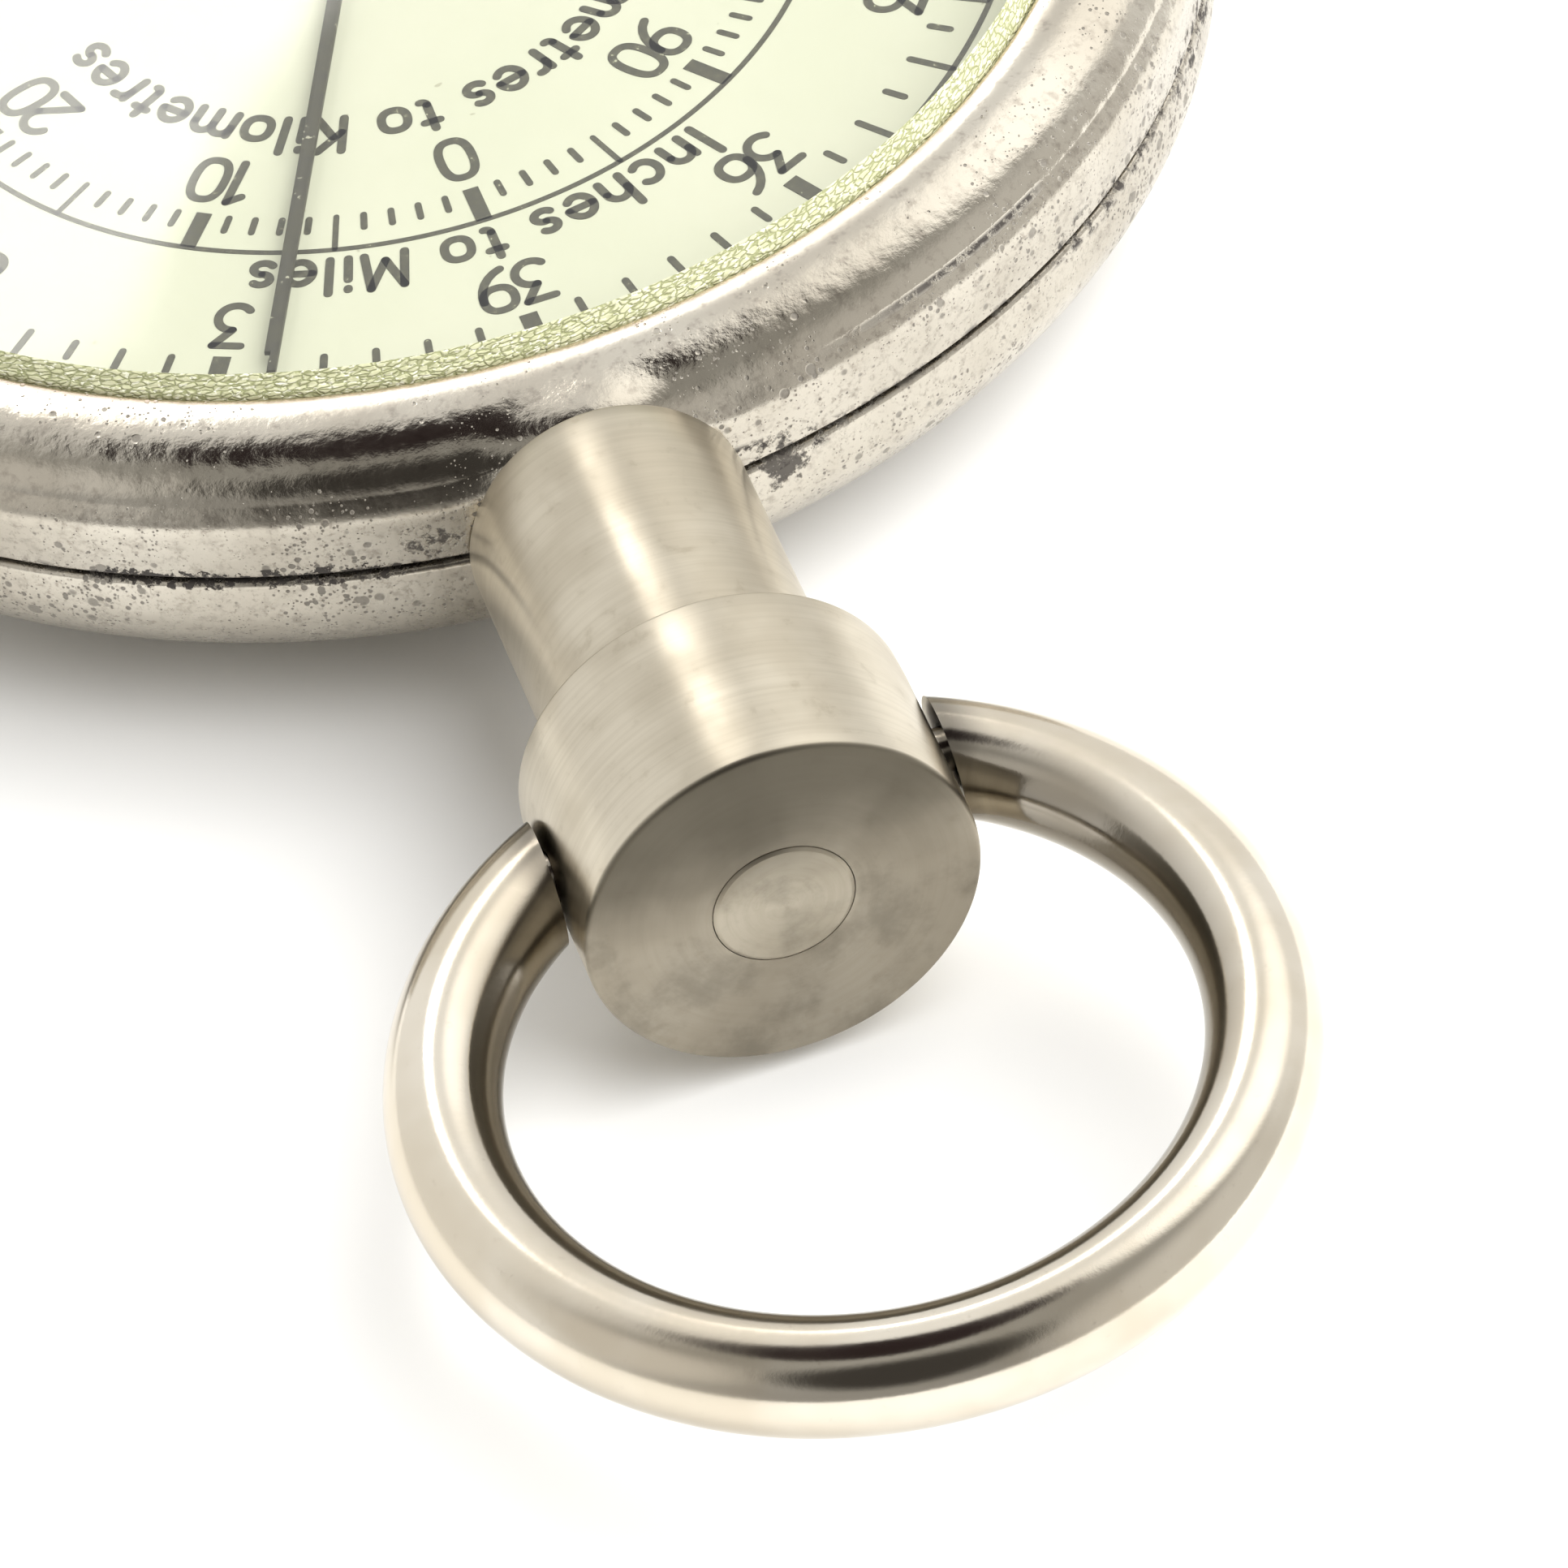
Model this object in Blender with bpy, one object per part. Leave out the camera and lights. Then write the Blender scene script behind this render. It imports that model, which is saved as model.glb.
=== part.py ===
"""Pocket map measurer: a watch-style case, a dial with one hand, a gear train and a tracing wheel.

Frame: origin at the centre of the flat part of the case back, +Z out through the dial, the stem and
the bow along -Y, the tracing wheel along +Y. Sizes below are in millimetres, the scene is in metres.
"""
import math

import bmesh
import bpy
from mathutils import Vector

MM = 0.001
TURN = 2.0 * math.pi

SIDES = ((-1, "left"), (1, "right"))

# Facets per turn
CASE_STEPS = 48
MID_STEPS = 32
PIN_STEPS = 16

# Straight edges along the case's rounded profiles and a plate's tongue
PROFILE_STEPS = 7
BACK_PROFILE_STEPS = 8
TONGUE_STEPS = 8

# How far a cutter runs past the face it opens, and how deep two joined bodies overlap
OVERRUN = 1.0
OVERLAP = 0.10

# Points closer than this are one point; edges sharper than this look sharp
MERGE_DISTANCE = 1e-4
SHARP_EDGE_DEG = 30.0

# Case: a front shell with a rolled bezel, and a snap-on back
CASE_RADIUS = 15.75
BEZEL_START_RADIUS = 13.90
BEZEL_SPRING_Z = 4.90
LIP_TOP_Z = 6.28
LIP_INNER_RADIUS = 13.55
SHELF_INNER_RADIUS = 13.00
SHELF_BOTTOM_Z = 5.35
SHELF_TOP_Z = 5.85
SHELL_BOTTOM_Z = 3.96
SHELL_BOTTOM_RADIUS = 15.68
SHELL_INNER_RADIUS = 15.10
SHELL_CORNER_Z = 4.95
SHELF_OUTER_RADIUS = 14.70
SEAM_GAP = 0.12
BACK_FLAT_RADIUS = 9.44
BACK_SPRING_Z = 3.20
WALL = 0.60
COLLAR_OUTER_RADIUS = 15.02
COLLAR_INNER_RADIUS = 14.45
COLLAR_TOP_Z = 4.60
COLLAR_ROOT_Z = 3.40
COLLAR_ROOT_DEG = -8.0

# Crystal and the ring round its edge
SEAL_OUTER_RADIUS = 13.50
SEAL_INNER_RADIUS = 13.26
SEAL_BOTTOM_Z = 5.90
SEAL_TOP_Z = 6.61
CRYSTAL_RADIUS = 13.20
CRYSTAL_EDGE_TOP_Z = 6.50
CRYSTAL_RISE = 0.90
CRYSTAL_THICKNESS = 0.55
DOME_STEPS = 5

# Dial
DIAL_RADIUS = 13.22
DIAL_TOP_Z = 5.19
DIAL_THICKNESS = 0.40
DIAL_BORE_RADIUS = 0.55
DIAL_FOOT_RADIUS = 0.40
DIAL_FOOT_BOTTOM_Z = 4.15
DIAL_FOOT_CIRCLE_RADIUS = 10.60
DIAL_FOOT_ANGLES = (0.0, 250.0)

# Movement plates
FRONT_PLATE_RADIUS = 14.20
BACK_PLATE_RADIUS = 12.40
FRONT_PLATE_Z = (4.05, 4.55)
BACK_PLATE_Z = (1.25, 1.75)
TONGUE_HALF_WIDTH = 1.60
PILLAR_CIRCLE_RADIUS = 10.80
PILLAR_ANGLES = (25.0, 155.0, 215.0, 325.0)
PILLAR_RADIUS = 0.90
PILLAR_PIN_RADIUS = 0.45
SCREW_HEAD_RADIUS = 0.80
SCREW_HEAD_HEIGHT = 0.40
SCREW_SHANK_RADIUS = 0.30
SCREW_HOLE_TOP_Z = 2.70
MOVEMENT_SCREW_CIRCLE_RADIUS = 13.72
MOVEMENT_SCREW_ANGLES = (45.0, 225.0)
MOVEMENT_SCREW_HEAD_RADIUS = 0.60
MOVEMENT_SCREW_TOP_Z = 5.70
SCREW_END_GAP = 0.10
SHELF_HOLE_END_GAP = 0.05
SHELF_HOLE_START_Z = 4.85

# Gear train: tracing wheel pinion 8 : 60, then 9 : 60, so 50 turns of the wheel to one of the hand.
# A tooth is its addendum over the module, then its half width at the tip and at the root over the pitch.
GEAR_MODULE = 0.219
WHEEL_TEETH = 60
AXLE_PINION_LEAVES = 8
INTERMEDIATE_PINION_LEAVES = 9
DEDENDUM = 1.20
WHEEL_TOOTH = (0.80, 0.06, 0.20)
LEAF = (0.60, 0.08, 0.15)
INTERMEDIATE_Y = GEAR_MODULE * (WHEEL_TEETH + INTERMEDIATE_PINION_LEAVES) / 2
AXLE_Y = INTERMEDIATE_Y + GEAR_MODULE * (WHEEL_TEETH + AXLE_PINION_LEAVES) / 2
UPPER_GEAR_Z = (3.15, 3.55)
LOWER_GEAR_Z = (2.15, 2.55)
PINION_EXTRA = 0.12
CENTRE_ARBOR_RADIUS = 0.45
CENTRE_ARBOR_Z = (1.00, 4.72)
HAND_POST_RADIUS = 0.30
HAND_POST_TOP_Z = 6.00
SIDE_ARBOR_RADIUS = 0.35
INTERMEDIATE_ARBOR_Z = (1.10, 4.68)
AXLE_Z = (1.05, 4.75)
FIT_GAP = 0.03
RUNNING_GAP = 0.06

# Tracing wheel: 20 mm round, so one turn of the wheel is 20 mm on the map
TRACING_WHEEL_ROUND = 20.0
TRACING_WHEEL_RADIUS = TRACING_WHEEL_ROUND / TURN
TRACING_WHEEL_Z = (2.75, 3.65)
TRACING_WHEEL_KNURLS = 40
KNURL_DEPTH = 0.10
WINDOW_HALF_WIDTH = 3.50
WINDOW_START_Y = 12.40
WINDOW_Z = (1.15, 4.85)

# Hand
HAND_DIRECTION_DEG = 22.85      # clockwise from the stem, seen from the front
HAND_WIDTH = 0.26
HAND_TIP_WIDTH = 0.15
HAND_THICKNESS = 0.10
HAND_Z = 5.42
HAND_TIP_RADIUS = 12.05
HAND_STEP_RADIUS = 11.55
HAND_TAIL = 2.60
HAND_EYE_RADIUS = 0.85
HAND_EYE_BORE_RADIUS = 0.58
HAND_BOSS_FLANGE_RADIUS = 0.95
HAND_BOSS_CAP_RADIUS = 0.76
HAND_BOSS_BARREL_RADIUS = 0.54
HAND_BOSS_Z = (5.30, 5.80)
HAND_BOSS_GRIP = 0.02

# Stem
STEM_Z = 3.81
NECK_RADIUS = 2.54
SADDLE_RADIUS = 15.83
SADDLE_GAP = 0.08
SADDLE_ARC_DEG = (-80.0, -10.0)
NECK_END_Y = -21.64
SPIGOT_RADIUS = 1.88
SPIGOT_END_Y = -14.95
SPIGOT_ROOT_Y = -18.00
NECK_BLANK_Y = -13.60
BOSS_RADIUS = 2.42
BOSS_INNER_RADIUS = 13.95
BOSS_END_RADIUS = 15.78
BOSS_ROOT_Z = 5.60
BOSS_LIMIT_TOP_Z = 6.90
BOSS_LIMIT_BOTTOM_Z = 3.99
BOSS_WALL_RADIUS = 15.15
HEAD_RADIUS = 3.485
HEAD_START_Y = -21.68
HEAD_END_Y = -25.72
HEAD_CHAMFER = 0.12
STEM_BORE_RADIUS = 1.26
RIVET_RADIUS = 1.20
RIVET_HEAD_RADIUS = 1.70
RIVET_HEAD_Y = (-14.86, -14.36)
RIVET_END_Y = -25.76

# Bow
BOW_HINGE_Y = -23.59
BOW_RADIUS = 6.83
BOW_WIRE_RADIUS = 1.00
BOW_END_X = 3.54
BOW_CENTRE_Y = -5.79            # from the hinge
BOW_DROOP_DEG = 2.05
BOW_ARC_STEPS = 36
BOW_WIRE_STEPS = 12
PINTLE_RADIUS = 0.55
SOCKET_RADIUS = 0.61
SOCKET_DEPTH = 1.00
BOW_OVERLAP = 1.20
BOW_GAP_BLOCK = ((-4.0, -2.0), (3.0, 2.0))
PINTLE_OVERLAP = 0.40
PINTLE_END_GAP = 0.12


def clear_scene():
    for thing in list(bpy.data.objects):
        bpy.data.objects.remove(thing, do_unlink=True)


def material(name, colour, roughness, metallic, alpha=1.0):
    made = bpy.data.materials.get(name)
    if made:
        return made
    made = bpy.data.materials.new(name)
    made.use_nodes = True
    shader = made.node_tree.nodes["Principled BSDF"]
    shader.inputs["Base Color"].default_value = (*colour, 1.0)
    shader.inputs["Roughness"].default_value = roughness
    shader.inputs["Metallic"].default_value = metallic
    shader.inputs["Alpha"].default_value = alpha
    return made


def nickel():
    return material("nickel", (0.62, 0.60, 0.56), 0.30, 1.0)


def satin_nickel():
    return material("satin_nickel", (0.60, 0.56, 0.48), 0.35, 1.0)


def brass():
    return material("brass", (0.72, 0.55, 0.25), 0.35, 1.0)


def steel():
    return material("steel", (0.50, 0.50, 0.50), 0.30, 1.0)


def new_object(name, bm, look=None):
    """Turn a bmesh in millimetres into an object in metres, faces pointing out."""
    bmesh.ops.scale(bm, vec=Vector((MM, MM, MM)), verts=bm.verts)
    bmesh.ops.remove_doubles(bm, verts=bm.verts, dist=MERGE_DISTANCE * MM)
    bmesh.ops.recalc_face_normals(bm, faces=bm.faces)
    mesh = bpy.data.meshes.new(name)
    bm.to_mesh(mesh)
    bm.free()
    mesh.shade_smooth()
    mesh.set_sharp_from_angle(angle=math.radians(SHARP_EDGE_DEG))
    thing = bpy.data.objects.new(name, mesh)
    bpy.context.scene.collection.objects.link(thing)
    if look:
        mesh.materials.append(look)
    return thing


def as_cutter(thing):
    thing.hide_render = True
    thing.display_type = "WIRE"
    return thing


def combine(thing, tool, operation):
    modifier = thing.modifiers.new(tool.name, "BOOLEAN")
    modifier.operation = operation
    modifier.solver = "EXACT"
    modifier.object = as_cutter(tool)


def arc(centre, half_width, half_height, start_deg, end_deg, steps):
    """Points (radius, height) along an ellipse about centre, from one angle to the other."""
    points = []
    for step in range(steps + 1):
        angle = math.radians(start_deg + (end_deg - start_deg) * step / steps)
        points.append((centre[0] + half_width * math.cos(angle), centre[1] + half_height * math.sin(angle)))
    return points


def turned_bmesh(outline, steps, loop=False):
    """Spin an outline of (radius, height) about +Z. A loop is a ring; otherwise both ends lie on the axis."""
    bm = bmesh.new()
    verts = [bm.verts.new((radius, 0.0, height)) for radius, height in outline]
    edges = [bm.edges.new(pair) for pair in zip(verts, verts[1:])]
    if loop:
        edges.append(bm.edges.new((verts[-1], verts[0])))
    bmesh.ops.spin(bm, geom=verts + edges, cent=(0, 0, 0), axis=(0, 0, 1), angle=TURN, steps=steps)
    bmesh.ops.remove_doubles(bm, verts=bm.verts, dist=MERGE_DISTANCE)
    bmesh.ops.dissolve_degenerate(bm, edges=bm.edges, dist=MERGE_DISTANCE)
    return bm


def turned(name, outline, steps, look=None, loop=False, centre=(0.0, 0.0)):
    bm = turned_bmesh(outline, steps, loop)
    bmesh.ops.translate(bm, vec=Vector((centre[0], centre[1], 0.0)), verts=bm.verts)
    return new_object(name, bm, look)


def turned_along_stem(name, outline, steps, look=None, loop=False):
    """Spin an outline of (radius, y) about the stem's axis, which is parallel to Y."""
    bm = turned_bmesh(outline, steps, loop)
    for vert in bm.verts:
        x, across, y = vert.co
        vert.co = (x, y, STEM_Z - across)
    return new_object(name, bm, look)


def rod(radius, low, high):
    return [(0.0, low), (radius, low), (radius, high), (0.0, high)]


def rods(name, places, steps):
    """One mesh of separate cylinders parallel to Z; each place is (x, y, radius, low, high)."""
    whole = bmesh.new()
    for x, y, radius, low, high in places:
        made = bmesh.ops.create_cone(whole, cap_ends=True, segments=steps, radius1=radius, radius2=radius,
                                     depth=high - low)
        bmesh.ops.translate(whole, vec=Vector((x, y, (low + high) / 2)), verts=made["verts"])
    return new_object(name, whole)


def side_pin(name, side, radius, start_x, end_x, y, z):
    """A cylinder parallel to X on one side of the stem."""
    bm = bmesh.new()
    length = end_x - start_x
    made = bmesh.ops.create_cone(bm, cap_ends=True, segments=PIN_STEPS, radius1=radius, radius2=radius,
                                 depth=length)
    for vert in made["verts"]:
        across, up, along = vert.co
        vert.co = (side * (start_x + length / 2 + along), y + up, z + across)
    return new_object(name, bm)


def block(name, low, high):
    bm = bmesh.new()
    bmesh.ops.create_cube(bm, size=1.0)
    size = Vector(high) - Vector(low)
    bmesh.ops.scale(bm, vec=size, verts=bm.verts)
    bmesh.ops.translate(bm, vec=(Vector(low) + Vector(high)) / 2, verts=bm.verts)
    return new_object(name, bm)


def extruded_bmesh(outline, low, high):
    """A flat outline of (x, y) points extruded along Z."""
    bm = bmesh.new()
    face = bm.faces.new([bm.verts.new((x, y, low)) for x, y in outline])
    top = bmesh.ops.extrude_face_region(bm, geom=[face])
    raised = [item for item in top["geom"] if isinstance(item, bmesh.types.BMVert)]
    bmesh.ops.translate(bm, vec=Vector((0.0, 0.0, high - low)), verts=raised)
    return bm


def on_circle(radius, angle_deg):
    angle = math.radians(angle_deg)
    return radius * math.cos(angle), radius * math.sin(angle)


def tooth_outline(teeth, tooth_shape, first_angle):
    addendum, tip_half, root_half = tooth_shape
    pitch = TURN / teeth
    pitch_radius = teeth * GEAR_MODULE / 2
    root_radius = pitch_radius - DEDENDUM * GEAR_MODULE
    tip_radius = pitch_radius + addendum * GEAR_MODULE
    flank = ((root_radius, -root_half), (tip_radius, -tip_half), (tip_radius, tip_half),
             (root_radius, root_half))
    points = []
    for tooth in range(teeth):
        centre = first_angle + tooth * pitch
        for radius, share in flank:
            angle = centre + share * pitch
            points.append((radius * math.cos(angle), radius * math.sin(angle)))
    return points


def gear_wheel(name, centre_y, heights, bore_radius):
    """A 60-tooth wheel with a tooth pointing along +Y, cut by its bore."""
    outline = tooth_outline(WHEEL_TEETH, WHEEL_TOOTH, TURN / 4)
    wheel = new_object(name, extruded_bmesh([(x, y + centre_y) for x, y in outline], *heights), brass())
    place = (0.0, centre_y, bore_radius, heights[0] - OVERRUN, heights[1] + OVERRUN)
    bore = rods(name + "_bore", [place], PIN_STEPS)
    combine(wheel, bore, "DIFFERENCE")
    return wheel


def pinion_arbor(name, leaves, centre_y, arbor_z, leaf_z):
    """An arbor with pinion leaves cut from the solid; a gap between leaves points along -Y."""
    arbor = turned(name, rod(SIDE_ARBOR_RADIUS, *arbor_z), PIN_STEPS, steel(), centre=(0.0, centre_y))
    outline = tooth_outline(leaves, LEAF, -TURN / 4 + TURN / leaves / 2)
    cut = new_object(name + "_leaves", extruded_bmesh([(x, y + centre_y) for x, y in outline], *leaf_z))
    combine(arbor, cut, "UNION")
    return arbor


def stem_hole():
    """The hole in the case wall that the neck's spigot passes through."""
    outer = -CASE_RADIUS - OVERRUN
    inner = -SHELL_INNER_RADIUS + OVERRUN
    return turned_along_stem("stem_hole", rod(SPIGOT_RADIUS + RUNNING_GAP, outer, inner), MID_STEPS)


def wheel_window():
    """The opening in the case wall that the tongues and the tracing wheel pass through."""
    return block("wheel_window", (-WINDOW_HALF_WIDTH, WINDOW_START_Y, WINDOW_Z[0]),
                 (WINDOW_HALF_WIDTH, CASE_RADIUS + OVERRUN, WINDOW_Z[1]))


def front_shell(hole, window):
    outline = [(LIP_INNER_RADIUS, SHELF_TOP_Z), (LIP_INNER_RADIUS, LIP_TOP_Z)]
    outline += arc((BEZEL_START_RADIUS, BEZEL_SPRING_Z), CASE_RADIUS - BEZEL_START_RADIUS,
                   LIP_TOP_Z - BEZEL_SPRING_Z, 90.0, 0.0, PROFILE_STEPS)
    outline += [(SHELL_BOTTOM_RADIUS, SHELL_BOTTOM_Z), (SHELL_INNER_RADIUS, SHELL_BOTTOM_Z),
                (SHELL_INNER_RADIUS, SHELL_CORNER_Z), (SHELF_OUTER_RADIUS, SHELF_BOTTOM_Z),
                (SHELF_INNER_RADIUS, SHELF_BOTTOM_Z), (SHELF_INNER_RADIUS, SHELF_TOP_Z)]
    shell = turned("front_shell", outline, CASE_STEPS, nickel(), loop=True)
    boss_y = (-CASE_RADIUS - OVERRUN, -BEZEL_START_RADIUS + OVERRUN)
    boss = turned_along_stem("stem_boss", rod(BOSS_RADIUS, *boss_y), MID_STEPS)
    low = BOSS_LIMIT_BOTTOM_Z
    allowed = [(BOSS_WALL_RADIUS, low), (BOSS_END_RADIUS, low), (BOSS_END_RADIUS, BOSS_LIMIT_TOP_Z),
               (BOSS_INNER_RADIUS, BOSS_LIMIT_TOP_Z), (BOSS_INNER_RADIUS, BOSS_ROOT_Z),
               (SHELF_OUTER_RADIUS, BOSS_ROOT_Z)]
    combine(boss, turned("stem_boss_limit", allowed, CASE_STEPS, loop=True), "INTERSECT")
    combine(shell, boss, "UNION")
    combine(shell, hole, "DIFFERENCE")
    combine(shell, window, "DIFFERENCE")
    hole_z = (SHELF_HOLE_START_Z, MOVEMENT_SCREW_TOP_Z + SHELF_HOLE_END_GAP)
    screws = [(*on_circle(MOVEMENT_SCREW_CIRCLE_RADIUS, angle), SCREW_SHANK_RADIUS + FIT_GAP, *hole_z)
              for angle in MOVEMENT_SCREW_ANGLES]
    combine(shell, rods("shelf_screw_holes", screws, PIN_STEPS), "DIFFERENCE")


def back_arc(offset, start_deg, end_deg, steps):
    """The rounded side of the back, moved in by offset."""
    return arc((BACK_FLAT_RADIUS, BACK_SPRING_Z), SHELL_BOTTOM_RADIUS - BACK_FLAT_RADIUS - offset,
               BACK_SPRING_Z - offset, start_deg, end_deg, steps)


def back_cover(hole, window):
    top = SHELL_BOTTOM_Z - SEAM_GAP
    outline = [(0.0, 0.0)] + back_arc(0.0, -90.0, 0.0, BACK_PROFILE_STEPS)
    outline += [(SHELL_BOTTOM_RADIUS, top), (COLLAR_OUTER_RADIUS, top), (COLLAR_OUTER_RADIUS, COLLAR_TOP_Z),
                (COLLAR_INNER_RADIUS, COLLAR_TOP_Z), (COLLAR_INNER_RADIUS, COLLAR_ROOT_Z)]
    outline += back_arc(WALL, COLLAR_ROOT_DEG, -90.0, PROFILE_STEPS) + [(0.0, WALL)]
    cover = turned("back_cover", outline, CASE_STEPS, nickel())
    combine(cover, hole, "DIFFERENCE")
    combine(cover, window, "DIFFERENCE")


def crystal():
    edge_bottom = CRYSTAL_EDGE_TOP_Z - CRYSTAL_THICKNESS
    shares = [step / DOME_STEPS for step in range(DOME_STEPS + 1)]
    outline = [(CRYSTAL_RADIUS * share, edge_bottom + CRYSTAL_RISE * (1 - share ** 2)) for share in shares]
    outline += [(CRYSTAL_RADIUS * share, CRYSTAL_EDGE_TOP_Z + CRYSTAL_RISE * (1 - share ** 2))
                for share in reversed(shares)]
    turned("crystal", outline, CASE_STEPS, material("crystal", (0.95, 0.97, 0.95), 0.05, 0.0, 0.25))


def crystal_seal():
    outline = [(SEAL_INNER_RADIUS, SEAL_BOTTOM_Z), (SEAL_OUTER_RADIUS, SEAL_BOTTOM_Z),
               (SEAL_OUTER_RADIUS, LIP_TOP_Z), (SEAL_INNER_RADIUS, SEAL_TOP_Z)]
    turned("crystal_seal", outline, CASE_STEPS, material("seal", (0.42, 0.44, 0.24), 0.7, 0.0), loop=True)


def dial():
    low = DIAL_TOP_Z - DIAL_THICKNESS
    outline = [(DIAL_BORE_RADIUS, low), (DIAL_RADIUS, low), (DIAL_RADIUS, DIAL_TOP_Z),
               (DIAL_BORE_RADIUS, DIAL_TOP_Z)]
    face = turned("dial", outline, CASE_STEPS, material("dial", (0.87, 0.88, 0.68), 0.5, 0.0), loop=True)
    feet = [(x, y, DIAL_FOOT_RADIUS, DIAL_FOOT_BOTTOM_Z, low + OVERLAP) for x, y in dial_foot_places()]
    combine(face, rods("dial_feet", feet, PIN_STEPS), "UNION")


def plate(name, radius, heights, holes):
    """A round movement plate with a tongue out to the tracing wheel's axle."""
    low, high = heights
    outline = []
    join_deg = math.degrees(math.asin(TONGUE_HALF_WIDTH / radius))
    for step in range(CASE_STEPS + 1):
        angle = 90.0 + join_deg + (360.0 - 2 * join_deg) * step / CASE_STEPS
        outline.append(on_circle(radius, angle))
    for step in range(TONGUE_STEPS + 1):
        x, y = on_circle(TONGUE_HALF_WIDTH, 180.0 * step / TONGUE_STEPS)
        outline.append((x, y + AXLE_Y))
    made = new_object(name, extruded_bmesh(outline, low, high), brass())
    cuts = [(x, y, hole_radius, low - OVERRUN, high + OVERRUN) for x, y, hole_radius in holes]
    combine(made, rods(name + "_holes", cuts, PIN_STEPS), "DIFFERENCE")


def pillar_places():
    return [on_circle(PILLAR_CIRCLE_RADIUS, angle) for angle in PILLAR_ANGLES]


def dial_foot_places():
    return [on_circle(DIAL_FOOT_CIRCLE_RADIUS, angle) for angle in DIAL_FOOT_ANGLES]


def plates():
    side_hole = SIDE_ARBOR_RADIUS + RUNNING_GAP
    arbors = [(0.0, 0.0, CENTRE_ARBOR_RADIUS + RUNNING_GAP), (0.0, INTERMEDIATE_Y, side_hole),
              (0.0, AXLE_Y, side_hole)]
    front = [(x, y, PILLAR_PIN_RADIUS + FIT_GAP) for x, y in pillar_places()]
    front += [(x, y, DIAL_FOOT_RADIUS + FIT_GAP) for x, y in dial_foot_places()]
    front += [(*on_circle(MOVEMENT_SCREW_CIRCLE_RADIUS, angle), SCREW_SHANK_RADIUS + RUNNING_GAP)
              for angle in MOVEMENT_SCREW_ANGLES]
    back = [(x, y, SCREW_SHANK_RADIUS + RUNNING_GAP) for x, y in pillar_places()]
    plate("front_plate", FRONT_PLATE_RADIUS, FRONT_PLATE_Z, arbors + front)
    plate("back_plate", BACK_PLATE_RADIUS, BACK_PLATE_Z, arbors + back)


def pillars_and_screws():
    low = BACK_PLATE_Z[1] + FIT_GAP
    shoulder = FRONT_PLATE_Z[0] - FIT_GAP
    hole = SCREW_SHANK_RADIUS + FIT_GAP
    head_top = BACK_PLATE_Z[0] - FIT_GAP
    for index, centre in enumerate(pillar_places(), start=1):
        pillar = [(0.0, SCREW_HOLE_TOP_Z), (hole, SCREW_HOLE_TOP_Z), (hole, low), (PILLAR_RADIUS, low),
                  (PILLAR_RADIUS, shoulder), (PILLAR_PIN_RADIUS, shoulder),
                  (PILLAR_PIN_RADIUS, FRONT_PLATE_Z[1]), (0.0, FRONT_PLATE_Z[1])]
        turned("pillar_%d" % index, pillar, PIN_STEPS, brass(), centre=centre)
        screw_end = SCREW_HOLE_TOP_Z - SCREW_END_GAP
        screw = [(0.0, head_top - SCREW_HEAD_HEIGHT), (SCREW_HEAD_RADIUS, head_top - SCREW_HEAD_HEIGHT),
                 (SCREW_HEAD_RADIUS, head_top), (SCREW_SHANK_RADIUS, head_top),
                 (SCREW_SHANK_RADIUS, screw_end), (0.0, screw_end)]
        turned("plate_screw_%d" % index, screw, PIN_STEPS, steel(), centre=centre)


def movement_screws():
    head_top = FRONT_PLATE_Z[0] - FIT_GAP
    for index, angle in enumerate(MOVEMENT_SCREW_ANGLES, start=1):
        screw = [(0.0, head_top - SCREW_HEAD_HEIGHT),
                 (MOVEMENT_SCREW_HEAD_RADIUS, head_top - SCREW_HEAD_HEIGHT),
                 (MOVEMENT_SCREW_HEAD_RADIUS, head_top), (SCREW_SHANK_RADIUS, head_top),
                 (SCREW_SHANK_RADIUS, MOVEMENT_SCREW_TOP_Z), (0.0, MOVEMENT_SCREW_TOP_Z)]
        turned("movement_screw_%d" % index, screw, PIN_STEPS, steel(),
               centre=on_circle(MOVEMENT_SCREW_CIRCLE_RADIUS, angle))


def gear_train():
    low, shoulder = CENTRE_ARBOR_Z
    arbor = [(0.0, low), (CENTRE_ARBOR_RADIUS, low), (CENTRE_ARBOR_RADIUS, shoulder),
             (HAND_POST_RADIUS, shoulder), (HAND_POST_RADIUS, HAND_POST_TOP_Z), (0.0, HAND_POST_TOP_Z)]
    turned("centre_arbor", arbor, PIN_STEPS, steel())
    gear_wheel("centre_wheel", 0.0, UPPER_GEAR_Z, CENTRE_ARBOR_RADIUS + FIT_GAP)
    pinion_arbor("intermediate_pinion", INTERMEDIATE_PINION_LEAVES, INTERMEDIATE_Y, INTERMEDIATE_ARBOR_Z,
                 (UPPER_GEAR_Z[0] - PINION_EXTRA, UPPER_GEAR_Z[1] + PINION_EXTRA))
    gear_wheel("intermediate_wheel", INTERMEDIATE_Y, LOWER_GEAR_Z, SIDE_ARBOR_RADIUS + FIT_GAP)
    pinion_arbor("wheel_axle", AXLE_PINION_LEAVES, AXLE_Y, AXLE_Z,
                 (LOWER_GEAR_Z[0] - PINION_EXTRA, LOWER_GEAR_Z[1] + PINION_EXTRA / 2))


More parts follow.
